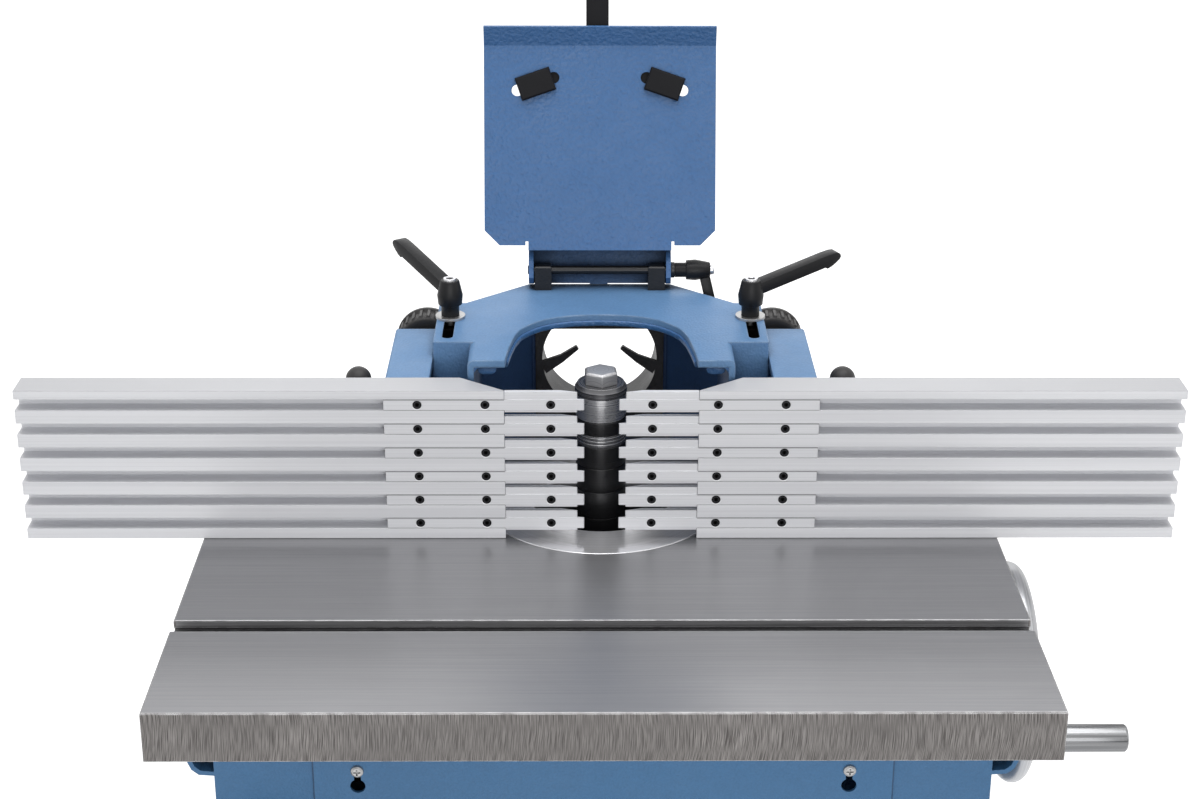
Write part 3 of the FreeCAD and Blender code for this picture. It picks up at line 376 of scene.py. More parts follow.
def turned_metal(name, colour, shade, rough, centre, tilt=(0.0, 0.0, 0.0), metallic=1.0,
                 fineness=900.0, edges=None):
    """Lathe-turned metal with fine rings round its own axis."""
    finish, tree, shader = new_finish(name, metallic)
    # The mapping puts the lathe axis on Z through the piece's own centre
    turned = put(tree, "Mapping", {"Vector": away_from(tree, centre), "Rotation": tilt}).outputs[0]
    lines = use(tree, TURNED_LINES, Vector=turned, Fineness=fineness)
    edge = use(tree, EDGE_MASK, Radius=0.0005)
    marks = use(tree, HANDLING, Smear=24.0)
    body = mixed(tree, spread(tree, lines["Ring"], *NOISE), shade, colour)
    body = mixed(tree, times(tree, lines["Sweep"], 0.25), body, shade)
    # Edges are lightened as a painted highlight
    bright = edges or tinted(colour, 1.3, 0.05)
    body = mixed(tree, times(tree, edge["EdgeMask"], 0.7), body, bright)
    gloss = spread(tree, lines["Ring"], *NOISE, rough - 0.04, rough + 0.05)
    gloss = plus(tree, gloss, times(tree, marks["Smears"], 0.07))
    settle(tree, shader, body, gloss, lines["Ring"], 0.05, 0.0002, edge["Normal"])
    return finish


def rough_cast(name, colour, shade, rough, metallic):
    """A rough casting with a pebbled skin."""
    finish, tree, shader = new_finish(name, metallic)
    skin = use(tree, PAINT_SKIN, Pebble=380.0)
    edge = use(tree, EDGE_MASK, Radius=0.0012)
    body = mixed(tree, skin["Tone"], colour, shade)
    pale = tinted(colour, 1.6, 0.03)
    body = mixed(tree, times(tree, edge["EdgeMask"], 0.6), body, pale)
    gloss = spread(tree, skin["Haze"], *NOISE, rough - 0.08, rough + 0.1)
    settle(tree, shader, body, gloss, skin["Pebbles"], 0.35, 0.0008, edge["Normal"])
    return finish


# Ground iron: darker and lighter tones of each kind of face, a painted highlight for the edges and
# painted shade for the crevices, and the outer skin's depth in metres
TOP_TONES = ((0.275, 0.275, 0.286, 1.0), (0.335, 0.335, 0.347, 1.0))
TOP_SMEAR = (0.24, 0.24, 0.25, 1.0)
MILLED_TONES = ((0.08, 0.074, 0.071, 1.0), (0.275, 0.26, 0.252, 1.0))
MILLED_PATCH = (0.12, 0.113, 0.11, 1.0)
WALL_TONES = ((0.17, 0.168, 0.172, 1.0), (0.3, 0.298, 0.304, 1.0))
IRON_EDGE_HIGHLIGHT = (0.7, 0.7, 0.71, 1.0)
IRON_CREVICE_SHADE = (0.02, 0.019, 0.019, 1.0)
OUTER_SKIN = 0.002


def ground_iron():
    """Table: ground top with lines across, and milled streaks on its upright faces."""
    finish, tree, shader = new_finish("ground_iron", 0.7)
    lines = use(tree, DRAWN_LINES, Stretch=(5.0, 620.0, 620.0))
    arcs = use(tree, MILL_ARCS, Level=TABLE_HIGH.z - 0.012)
    edge = use(tree, EDGE_MASK, Radius=0.0015, Patches=70.0)
    marks = use(tree, HANDLING, Smear=6.0)
    shut = use(tree, CREVICE_SHADE, Reach=0.016, Open=0.7)["Dark"]
    facing = split(tree, put(tree, "TexCoord").outputs["Normal"])["Z"]
    upright = spread(tree, maths(tree, "ABSOLUTE", facing), 0.9, 0.6)
    tone = spread(tree, lines["Line"], *NOISE)
    top = mixed(tree, tone, *TOP_TONES)
    top = mixed(tree, times(tree, marks["Smears"], 0.3), top, TOP_SMEAR)
    tone = spread(tree, arcs["Arc"], 0.41, 0.59)
    milled = mixed(tree, tone, *MILLED_TONES)
    patch = spread(tree, arcs["Patch"], 0.35, 0.7, 0.0, 0.55)
    milled = mixed(tree, patch, milled, MILLED_PATCH)
    # Only the outer faces are milled; the slot's walls carry lines along it
    x, y, _ = split(tree, here(tree))
    ends = maths(tree, "GREATER_THAN", maths(tree, "ABSOLUTE", x), TABLE_HIGH.x - OUTER_SKIN)
    front = maths(tree, "LESS_THAN", y, TABLE_LOW.y + OUTER_SKIN)
    back = maths(tree, "GREATER_THAN", y, TABLE_HIGH.y - OUTER_SKIN)
    outer = maths(tree, "MAXIMUM", maths(tree, "MAXIMUM", ends, front), back)
    wall = mixed(tree, spread(tree, lines["Line"], 0.35, 0.65), *WALL_TONES)
    milled = mixed(tree, outer, wall, milled)
    body = mixed(tree, upright, top, milled)
    # Painted highlight along the edges, nearly unbroken
    bright = put(tree, "Math", {0: edge["EdgeMask"], 1: 3.5}, operation="MULTIPLY", use_clamp=True)
    body = mixed(tree, times(tree, bright.outputs[0], 0.85), body, IRON_EDGE_HIGHLIGHT)
    # Painted shade in the slots and corners
    body = mixed(tree, times(tree, shut, 0.93), body, IRON_CREVICE_SHADE)
    fine = spread(tree, lines["Line"], *NOISE, 0.29, 0.36)
    fine = plus(tree, fine, times(tree, marks["Smears"], 0.05))
    gloss = blended(tree, upright, fine, spread(tree, arcs["Arc"], *NOISE, 0.42, 0.55))
    height = blended(tree, upright, times(tree, lines["Line"], 0.35), arcs["Arc"])
    settle(tree, shader, body, gloss, height, 0.22, 0.0003, edge["Normal"])
    return finish


# Screws sit at these places across on every finger, one row to each pitch of the ribs
FINGER_SCREWS = (47.0, 107.5, 170.0)
RIB_PITCH = 24.0
FIRST_SCREW_UP = 16.0
# A screw's discs from the outside in: a bright ring painted as the countersink's highlight, head,
# step and socket
SCREW_HEAD = 4.1
SCREW_DISCS = (
    (SCREW_HEAD + 0.5, (0.86, 0.86, 0.88, 1.0)),
    (SCREW_HEAD, (0.008, 0.008, 0.009, 1.0)),
    (3.1, (0.035, 0.035, 0.038, 1.0)),
    (2.0, (0.004, 0.004, 0.004, 1.0)),
)
DISC_BLUR = 0.2
# A finger's upper and lower seams in its groove, painted dark as their shadow, which start this far
# from the machine's middle
SEAM_UP = 5.3
SEAM_START = 90.0
FINGER_SEAM_SHADOW = (0.07, 0.07, 0.074, 1.0)


def disc(tree, far, radius):
    return spread(tree, far, radius * MM, (radius + DISC_BLUR) * MM, 1.0, 0.0)


def finger_finish():
    """Fence aluminium with black socket screws ringed by a painted highlight, and painted shadow in
    the seams along the grooves.
    """
    finish = drawn_metal("finger_aluminium", *FENCE_LOOK, edges=0.35)
    tree = finish.node_tree
    x, _, z = split(tree, here(tree))
    across = maths(tree, "ABSOLUTE", x)
    low = TABLE_HIGH.z + (FIRST_SCREW_UP - RIB_PITCH / 2) * MM
    level = put(tree, "Math", {0: z, 1: low + RIB_PITCH * MM, 2: low}, operation="WRAP").outputs[0]
    rise = maths(tree, "SUBTRACT", level, low + RIB_PITCH / 2 * MM)
    up = maths(tree, "POWER", rise, 2.0)
    far = None
    for place in FINGER_SCREWS:
        aside = maths(tree, "POWER", maths(tree, "SUBTRACT", across, place * MM), 2.0)
        gap = maths(tree, "SQRT", plus(tree, aside, up))
        far = gap if far is None else maths(tree, "MINIMUM", far, gap)
    # Painted shadow along the seams
    upper = spread(tree, rise, (SEAM_UP - 1.3) * MM, SEAM_UP * MM, 0.0, 0.85)
    lower = spread(tree, rise, (0.6 - SEAM_UP) * MM, -SEAM_UP * MM, 0.0, 0.7)
    beyond = maths(tree, "GREATER_THAN", across, SEAM_START * MM)
    stain(finish, times(tree, plus(tree, upper, lower), beyond), FINGER_SEAM_SHADOW)
    # The outer disc is a painted highlight round each screw
    for radius, colour in SCREW_DISCS:
        stain(finish, disc(tree, far, radius), colour)
    metal = blended(tree, disc(tree, far, SCREW_HEAD), FENCE_METALLIC, 1.0)
    tree.links.new(metal, tree.nodes["Principled BSDF"].inputs["Metallic"])
    return finish


# The shoulders' slots, painted black inside as their shade
SLOT_ASIDE = 147.0
SLOT_HALF = 7.5
SLOT_ENDS = (414.0, 494.0)
SLOT_LEVELS = (60.0, 165.3)
SLOT_SHADE = (0.006, 0.005, 0.005, 1.0)
# The hood's inside, navy as painted shade: least reach from the spindle in metres, then half width
# and height in mm
INNER_NEAR = 0.03
INNER_HALF = 119.5
INNER_UP = 159.4
HOOD_INSIDE_SHADE = (0.001, 0.025, 0.13, 1.0)
INNER_SHARE = 0.66
# The front panel's seams, darkened as painted shade: half their width and how deep they reach, in
# metres
PANEL_SEAM = 0.0008
PANEL_DEEP = 0.006
PANEL_SEAM_SHADE = (0.02, 0.06, 0.13, 1.0)
SEAM_SHARE = 0.7


def within(tree, value, low, high):
    above = maths(tree, "GREATER_THAN", value, low)
    return times(tree, above, maths(tree, "LESS_THAN", value, high))


def cabinet_finish():
    """Cabinet blue with painted shade in the two seams beside the front panel."""
    finish = painted("machine_blue", CABINET_BLUE, BLUE_RUB, 0.38, relief=1.0)
    tree = finish.node_tree
    front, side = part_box("front_panel")[0].y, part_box("front_panel")[1].x
    x, y, _ = split(tree, here(tree))
    seam = within(tree, maths(tree, "ABSOLUTE", x), side - PANEL_SEAM, side + PANEL_SEAM)
    seam = times(tree, seam, maths(tree, "LESS_THAN", y, front + PANEL_DEEP))
    # Painted shade in the seams
    stain(finish, times(tree, seam, SEAM_SHARE), PANEL_SEAM_SHADE)
    return finish


def housing_finish():
    """Cast blue, with painted shade: black in the slots that the clamp studs slide in and navy
    inside the hood.
    """
    finish = painted("cast_blue", CAST_BLUE_LIT, CAST_RUB, 0.46, 0.8, 420.0, 0.0028, 0.8, 0.042)
    tree = finish.node_tree
    x, y, z = split(tree, here(tree))
    aside = maths(tree, "ABSOLUTE", x)
    # Painted shade: the slots are black inside
    slot = within(tree, aside, (SLOT_ASIDE - SLOT_HALF) * MM, (SLOT_ASIDE + SLOT_HALF) * MM)
    along = within(tree, y, *[spot(0, back, 0).y for back in SLOT_ENDS])
    slot = times(tree, slot, along)
    height = within(tree, z, *[spot(0, 0, up).z for up in SLOT_LEVELS])
    slot = times(tree, slot, height)
    stain(finish, slot, SLOT_SHADE)
    # The hood's inner faces look at the spindle and are painted navy as shade
    arm = away_from(tree, SPINDLE_AXIS)
    facing = put(tree, "TexCoord").outputs["Normal"]
    inner = dotted(tree, arm, facing)
    inner = maths(tree, "LESS_THAN", inner, -INNER_NEAR)
    inner = times(tree, inner, maths(tree, "LESS_THAN", aside, INNER_HALF * MM))
    inner = times(tree, inner, maths(tree, "LESS_THAN", z, spot(0, 0, INNER_UP).z))
    stain(finish, times(tree, inner, INNER_SHARE), HOOD_INSIDE_SHADE)
    # Metal in the slots too, so that the painted shade takes no sheen
    tree.links.new(slot, tree.nodes["Principled BSDF"].inputs["Metallic"])
    return finish


# One machine blue in three tones: the cover's darker as painted shade, the castings' lighter as
# painted light on their tops
CABINET_BLUE = (0.069, 0.205, 0.41, 1.0)
COVER_BLUE_SHADED = (0.047, 0.144, 0.342, 1.0)
CAST_BLUE_LIT = (0.13, 0.27, 0.492, 1.0)
BLUE_RUB = (0.19, 0.32, 0.54, 1.0)
CAST_RUB = (0.42, 0.56, 0.76, 1.0)
FENCE_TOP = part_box("left_fence")[1].z - 0.0002
FENCE_BRIGHT = (0.8, 0.805, 0.83, 1.0)
FENCE_SHADE = (0.675, 0.68, 0.705, 1.0)
FENCE_METALLIC = 0.25
FENCE_LOOK = (FENCE_BRIGHT, FENCE_SHADE, 0.45, FENCE_METALLIC, (1.6, 520.0, 520.0))
SPINDLE_AXIS = spot(0, SPINDLE_BACK, 0)
WHEEL_AXIS = spot(0, WHEEL_BACK, WHEEL_UP)
SIDEWAYS = (0.0, math.pi / 2, 0.0)
CRANK_TURN = math.radians(191.2)
CRANK_REACH = 94.0
CRANK_BACK = WHEEL_BACK + CRANK_REACH * math.cos(CRANK_TURN)
CRANK_UP = WHEEL_UP + CRANK_REACH * math.sin(CRANK_TURN)

MACHINE_BLUE = cabinet_finish()
SHEET_BLUE = painted("sheet_blue", COVER_BLUE_SHADED, BLUE_RUB, 0.38, 0.25, 300.0, relief=2.0, reach=0.07)
CAST_BLUE = housing_finish()
IRON = ground_iron()
FENCE_METAL = drawn_metal("fence_aluminium", *FENCE_LOOK, shade_above=FENCE_TOP)
FINGER_METAL = finger_finish()
MOULDED_BLACK = moulded("moulded_black", (0.007, 0.007, 0.008, 1.0), 0.36, shine=0.22)
KNOB_BLACK = moulded("knob_black", (0.042, 0.04, 0.04, 1.0), 0.42, 900.0)
BLACK_STEEL = turned_metal("black_steel", (0.022, 0.022, 0.024, 1.0), (0.012, 0.012, 0.013, 1.0),
                           0.3, SPINDLE_AXIS, metallic=0.4, fineness=1300.0)
BAR_BLACK = moulded("bar_black", (0.008, 0.008, 0.0095, 1.0), 0.45, 700.0, 0.1)
TURNED_STEEL = turned_metal("turned_steel", (0.6, 0.6, 0.61, 1.0), (0.36, 0.36, 0.37, 1.0), 0.26,
                            SPINDLE_AXIS, metallic=0.75)
BOLT_STEEL = turned_metal("bolt_steel", (0.56, 0.56, 0.57, 1.0), (0.36, 0.36, 0.37, 1.0), 0.3,
                          SPINDLE_AXIS, metallic=0.5)
# The cap's edges take this pale colour as a painted highlight
CAP_STEEL = turned_metal("cap_steel", (0.22, 0.22, 0.23, 1.0), (0.07, 0.07, 0.074, 1.0), 0.22,
                         SPINDLE_AXIS, metallic=0.6, edges=(0.7, 0.7, 0.72, 1.0))
RING_STEEL = turned_metal("ring_steel", (0.72, 0.72, 0.74, 1.0), (0.6, 0.6, 0.62, 1.0), 0.14,
                          SPINDLE_AXIS, metallic=0.6, fineness=700.0)
# Dark bands along the grip are painted reflections
HANDLE_STEEL_PAINTED_REFLECTIONS = drawn_metal("handle_steel", (0.44, 0.445, 0.455, 1.0), (0.05, 0.051, 0.054, 1.0),
                           0.2, 0.9, (1.5, 210.0, 210.0))
CHROME = turned_metal("wheel_chrome", (0.56, 0.565, 0.58, 1.0), (0.41, 0.415, 0.43, 1.0), 0.3,
                      WHEEL_AXIS, SIDEWAYS, metallic=0.8, fineness=500.0)
ZINC = drawn_metal("zinc_plate", (0.5, 0.5, 0.5, 1.0), (0.36, 0.36, 0.36, 1.0), 0.36, 0.9,
                   (300.0, 300.0, 300.0))
PLAIN_STEEL = drawn_metal("plain_steel", (0.45, 0.45, 0.46, 1.0), (0.32, 0.32, 0.33, 1.0), 0.36,
                          1.0, (200.0, 200.0, 900.0))
CAST_GREY = rough_cast("cast_grey", (0.1, 0.105, 0.11, 1.0), (0.07, 0.073, 0.078, 1.0), 0.55, 0.3)
MOTOR_GREY = painted("motor_grey", (0.12, 0.13, 0.14, 1.0), (0.3, 0.3, 0.3, 1.0), 0.42)
PORT_BLACK = painted("port_black", (0.024, 0.024, 0.027, 1.0), (0.12, 0.12, 0.12, 1.0), 0.42)
BELT_RUBBER = moulded("belt_rubber", (0.02, 0.02, 0.02, 1.0), 0.7, 700.0)
# Near-black finish for the plugs in screw sockets, a painted shade
SOCKET_SHADE = moulded("socket_shade", (0.006, 0.006, 0.006, 1.0), 0.6)
START_GREEN = moulded("start_green", (0.02, 0.3, 0.06, 1.0), 0.3)
STOP_RED = moulded("stop_red", (0.5, 0.018, 0.016, 1.0), 0.3)


def dress(finish, *nodes):
    """Gives the solids of the frame their finish."""
    for name in nodes:
        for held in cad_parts[name].material_slots:
            held.material = finish


FINGERS = ["finger_%s_%d" % (side, k) for side in ("left", "right") for k in range(1, 7)]

dress(MACHINE_BLUE, "cabinet_shell", "front_panel")
dress(SHEET_BLUE, "cover")
dress(CAST_BLUE, "fence_housing", "left_carrier", "right_carrier")
dress(IRON, "table")
dress(RING_STEEL, "insert_ring")
dress(FENCE_METAL, "left_fence", "right_fence")
dress(FINGER_METAL, *FINGERS)
dress(ZINC, "panel_screws", "table_bolts", "left_carrier_bolts", "right_carrier_bolts")
dress(BLACK_STEEL, "hinge_pin", "hinge_blocks", "spindle")
dress(BAR_BLACK, "bar_holder", "slot_nuts")
dress(TURNED_STEEL, "spindle_pulley", "motor_pulley", "motor_shaft")
dress(CAP_STEEL, "clamp_cap")
dress(PLAIN_STEEL, "lift_screw", "wheel_shaft", "spindle_bearings", "quill", "wheel_bush")
dress(CAST_GREY, "quill_guide", "motor_bracket")
dress(MOTOR_GREY, "motor")
dress(PORT_BLACK, "dust_port")
dress(BELT_RUBBER, "drive_belt")
dress(MOULDED_BLACK, "switch_box")
dress(START_GREEN, "start_button")
dress(STOP_RED, "stop_button")


# Mesh helpers: profiles and places are in mm


def lathe(profile, steps=40):
    """Spins a line of (radius, height) pairs round Z."""
    bm = bmesh.new()
    line = [bm.verts.new((r * MM, 0.0, z * MM)) for r, z in profile]
    edges = [bm.edges.new(pair) for pair in zip(line, line[1:])]
    bmesh.ops.spin(bm, geom=line + edges, cent=(0, 0, 0), axis=(0, 0, 1), angle=2 * math.pi,
                   steps=steps, use_merge=True)
    bmesh.ops.remove_doubles(bm, verts=bm.verts, dist=1e-6)
    bmesh.ops.recalc_face_normals(bm, faces=bm.faces)
    return bm


def grown_points(result):
    """The points that an extrusion added."""
    return [v for v in result["geom"] if isinstance(v, bmesh.types.BMVert)]


def slab(points, width):
    """Extrudes an upright outline of (along, up) pairs evenly to both sides."""
    bm = bmesh.new()
    face = bm.faces.new([bm.verts.new((x * MM, -width / 2 * MM, z * MM)) for x, z in points])
    far = grown_points(bmesh.ops.extrude_face_region(bm, geom=[face]))
    bmesh.ops.translate(bm, verts=far, vec=(0, width * MM, 0))
    bmesh.ops.recalc_face_normals(bm, faces=bm.faces)
    return bm


def block(across, back, up):
    """A box round its own middle."""
    bm = bmesh.new()
    bmesh.ops.create_cube(bm, size=1.0)
    bmesh.ops.scale(bm, vec=(across * MM, back * MM, up * MM), verts=bm.verts)
    return bm


def soften(bm, width, segments=2):
    """Rounds every sharp edge of a shape."""
    sharp = [e for e in bm.edges if len(e.link_faces) == 2 and e.calc_face_angle() > SHARP]
    bmesh.ops.bevel(bm, geom=sharp, offset=width * MM, affect="EDGES", segments=segments,
                    profile=0.5, material=-1, clamp_overlap=True)
    return bm


def set_in(bm, part, place=None, finish=0):
    """Sets one shape into a piece at its place and with its own finish."""
    for face in part.faces:
        face.material_index = finish
    if place is not None:
        bmesh.ops.transform(part, matrix=place, verts=part.verts)
    held = bpy.data.meshes.new("held")
    part.to_mesh(held)
    part.free()
    bm.from_mesh(held)
    bpy.data.meshes.remove(held)


def placed(name, data):
    """Puts a mesh, lamp or camera into the scene."""
    thing = bpy.data.objects.new(name, data)
    bpy.context.scene.collection.objects.link(thing)
    return thing


def piece(name, bm, finishes, body, *nodes):
    """Makes a finished piece that rides on a body and stands for its solids."""
    mesh = bpy.data.meshes.new(name)
    bm.to_mesh(mesh)
    bm.free()
    for finish in finishes:
        mesh.materials.append(finish)
    mesh.shade_smooth()
    mesh.set_sharp_from_angle(angle=SHARP)
    thing = placed(name, mesh)
    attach(thing, body)
    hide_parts(*nodes)


def turn(degrees, axis):
    return Matrix.Rotation(math.radians(degrees), 4, axis)


def at(across, back, up):
    return Matrix.Translation(spot(across, back, up))


def lift(x, y, z):
    return Matrix.Translation((x * MM, y * MM, z * MM))


def aimed(root, tip):
    """Turns Z so that it looks from one point to another."""
    return (tip - root).to_track_quat("Z", "Y").to_matrix().to_4x4()


TO_RIGHT = turn(90, "Y")
TO_BACK = turn(-90, "X")


# Clamp levers: stepped hub, softened arm with a finger hook, and a socket screw on top

# Each one's side, its place across and how far its arm is turned
CLAMP_LEVERS = (("right", 147, 24.2), ("left", -147, 180 - 54.7))
CLAMP_BACK = 476
CLAMP_UP = 168.5
# The cover's hinge line, from which the cover lever and the guard bar are placed
HINGE_BACK = 564
HINGE_UP = 185
# Outlines of the hub and the arm as shares of their sizes
LEVER_HUB = [(0, 0), (0.7, 0), (0.7, 0.32), (0.93, 0.32), (1, 0.58), (0.76, 0.96), (0.7, 1), (0, 1)]
LEVER_ARM = [(0.04, 0), (0.83, 0), (0.84, -0.16), (0.89, -0.1), (0.94, 0.06), (0.98, 0.24)]
LEVER_ARM += [(1, 0.45), (0.99, 0.68), (0.96, 0.87), (0.91, 0.96), (0.82, 1), (0.04, 1)]
SCREW_SIDES = 24


def socket_screw(radius, tall, across):
    """A screw head with a hexagon socket of this width across its flats."""
    bm = bmesh.new()
    bmesh.ops.create_circle(bm, segments=SCREW_SIDES, radius=radius * MM)
    bmesh.ops.create_circle(bm, segments=6, radius=across / math.sqrt(3.0) * MM)
    socket = bm.edges[SCREW_SIDES:]
    bmesh.ops.bridge_loops(bm, edges=bm.edges[:])
    sunk = grown_points(bmesh.ops.extrude_edge_only(bm, edges=socket))
    bmesh.ops.translate(bm, verts=sunk, vec=(0, 0, -0.6 * tall * MM))
    rim = [e for e in bm.edges if e.is_boundary and e.verts[0].co.length > 0.9 * radius * MM]
    side = grown_points(bmesh.ops.extrude_edge_only(bm, edges=rim))
    bmesh.ops.translate(bm, verts=side, vec=(0, 0, -tall * MM))
    bmesh.ops.holes_fill(bm, edges=[e for e in bm.edges if e.is_boundary])
    bmesh.ops.translate(bm, verts=bm.verts, vec=(0, 0, tall * MM))
    bmesh.ops.recalc_face_normals(bm, faces=bm.faces)
    return soften(bm, 0.3)


def set_screw(bm, radius, tall, across, place, finish):
    """Sets in a socket screw, and down in its socket a plug in the next finish, a dark painted
    shade.
    """
    set_in(bm, socket_screw(radius, tall, across), place, finish)
    low, high = 0.25 * tall, 0.62 * tall
    # Painted shade: a dark plug down in the socket
    well = lathe([(0, low), (0.5 * across, low), (0.5 * across, high), (0, high)], 6)
    set_in(bm, well, place, finish + 1)


def clamp_lever(hub_radius, hub_tall, arm, rise, low, thick, width):
    """A lever along X on a hub along Z; its arm starts low and climbs by its rise."""
    bm = bmesh.new()
    set_in(bm, soften(lathe([(hub_radius * r, hub_tall * z) for r, z in LEVER_HUB]), 0.5))
    bar = slab([(arm * x, low + rise * x + thick * z) for x, z in LEVER_ARM], width)
    set_in(bm, soften(bar, 0.11 * width))
    return bm


def make_levers():
    looks = (MOULDED_BLACK, RING_STEEL, SOCKET_SHADE)
    for side, across, aside in CLAMP_LEVERS:
        body = side + "_clamp_lever"
        bm = clamp_lever(hub_radius=12.6, hub_tall=36, arm=97, rise=23.5, low=20, thick=12.5,
                         width=14)
        set_screw(bm, 6.2, 3, 7, lift(0, 0, 35), 1)
        place = at(across, CLAMP_BACK, CLAMP_UP) @ turn(aside, "Z")
        bmesh.ops.transform(bm, matrix=place, verts=bm.verts)
        piece(body + "_grip", bm, looks, body, body)
    bm = clamp_lever(hub_radius=10.6, hub_tall=36, arm=62, rise=15, low=23.5, thick=11, width=10)
    set_screw(bm, 4.8, 5, 4, lift(0, 0, 35), 1)
    place = at(76, HINGE_BACK, HINGE_UP) @ turn(-4, "X") @ TO_RIGHT
    bmesh.ops.transform(bm, matrix=place, verts=bm.verts)
    piece("cover_lever_grip", bm, looks, "cover_lever", "cover_lever")


# Adjusters: padded grip with a plain rim, collars and a threaded screw

ADJUSTER_ASIDE = 174.2
ADJUSTER_BACK = 398
ADJUSTER_UP = 120.5
KNOB_HALF = [(0, 4), (18, 4), (23, 0), (27.5, 0), (28.8, 1.5), (28.8, 20), (31.5, 21), (31.5, 25)]
KNOB_HALF += [(30.5, 26), (14, 26), (12, 24), (0, 24)]
# Each collar's radius, start and end along the screw
COLLARS = ((10, 82, 90.7), (12, 114.3, 122.3))
SCREW_PITCH = 1.75


def grip_knob():
    """A knob with every other face of its wall raised to a pad."""
    bm = lathe(KNOB_HALF, 48)
    middles = {f: f.calc_center_median() for f in bm.faces}
    wall = [f for f in bm.faces if abs(f.normal.z) < 0.1 and middles[f].z < 0.012]
    wall = [f for f in wall if math.hypot(*middles[f].xy) > 0.028]
    wall.sort(key=lambda f: math.atan2(middles[f].y, middles[f].x))
    bmesh.ops.inset_individual(bm, faces=wall[::2], thickness=0.0006, depth=0.0022)
    return bm


def threaded(radius, pitch, low, high):
    """A screw along Z with rings for its thread."""
    profile = [(0, low)]
    for k in range(int((high - low) / pitch)):
        profile += [(radius - 0.6 * pitch, low + k * pitch), (radius, low + (k + 0.5) * pitch)]
    return lathe(profile + [(radius - 0.6 * pitch, high), (0, high)], 24)


def make_adjusters():
    for side, across in (("right", ADJUSTER_ASIDE), ("left", -ADJUSTER_ASIDE)):
        body = side + "_adjuster"
        bm = bmesh.new()
        set_in(bm, soften(grip_knob(), 0.3, 1), lift(0, 0, 121))
        set_in(bm, threaded(6, SCREW_PITCH, 0, 126), None, 1)
        for radius, low, high in COLLARS:
            collar = lathe([(0, low), (radius, low), (radius, high), (0, high)])
            set_in(bm, soften(collar, 0.6), None, 1)
        place = at(across, ADJUSTER_BACK, ADJUSTER_UP) @ TO_BACK
        bmesh.ops.transform(bm, matrix=place, verts=bm.verts)
        piece(body + "_knob", bm, (KNOB_BLACK, PLAIN_STEEL), body, body)


# Table clamps: turned foot, tapered arm and ball grip

TABLE_CLAMP_ASIDE = 238
TABLE_CLAMP_BACK = 455
CLAMP_FOOT = [(0, 0), (16, 0), (16, 3), (11, 4), (11, 26), (8, 30), (0, 30)]
BALL_RADIUS = 12.5


def make_table_clamps():
    bends = [math.radians(-50 + 10 * k) for k in range(14)]
    grip = [(0, -13), (6.5, -13), (6.5, -10.7)]
    grip += [(BALL_RADIUS * math.cos(a), BALL_RADIUS * math.sin(a)) for a in bends]
    grip.append((0, BALL_RADIUS))
    for side, s in (("right", 1), ("left", -1)):
        body = side + "_table_clamp"
        bm = bmesh.new()
        set_in(bm, soften(lathe(CLAMP_FOOT), 0.7), lift(0, 0, 12.3), 1)
        set_in(bm, threaded(6, SCREW_PITCH, -22, 14), None, 1)
        root = Vector((0, -2, 30))
        ball = Vector((-4 * s, -30, 121))
        reach = (ball - root).length
        aim = aimed(root, ball)
        arm = lathe([(0, 0), (6, 0), (6, 8), (5, 12), (5, reach), (0, reach)], 28)
        set_in(bm, soften(arm, 0.5), lift(*root) @ aim, 1)
        set_in(bm, lathe(grip, 36), lift(*ball) @ aim)
        place = at(TABLE_CLAMP_ASIDE * s, TABLE_CLAMP_BACK, 0)
        bmesh.ops.transform(bm, matrix=place, verts=bm.verts)
        piece(body + "_lever", bm, (KNOB_BLACK, PLAIN_STEEL), body, body)


# Handwheel: ring rim, three tapered spokes, stepped hub and the crank's stud

WHEEL_ASIDE = 389
GRIP_ASIDE = 405
RIM_RADIUS = 11
STUD_RADIUS = 6
STUD_LONG = 87
HUB_HALF = [(0, -50.5), (22, -50.5), (22, -24), (20.5, -22), (20.5, 6), (18, 12), (11, 12)]
HUB_HALF += [(10, 10.5), (0, 10.5)]
GRIP_HALF = [(6.1, 0), (11.4, 0), (12.9, 2), (12.9, 75), (11.4, 77), (6.1, 77), (6.1, 0)]


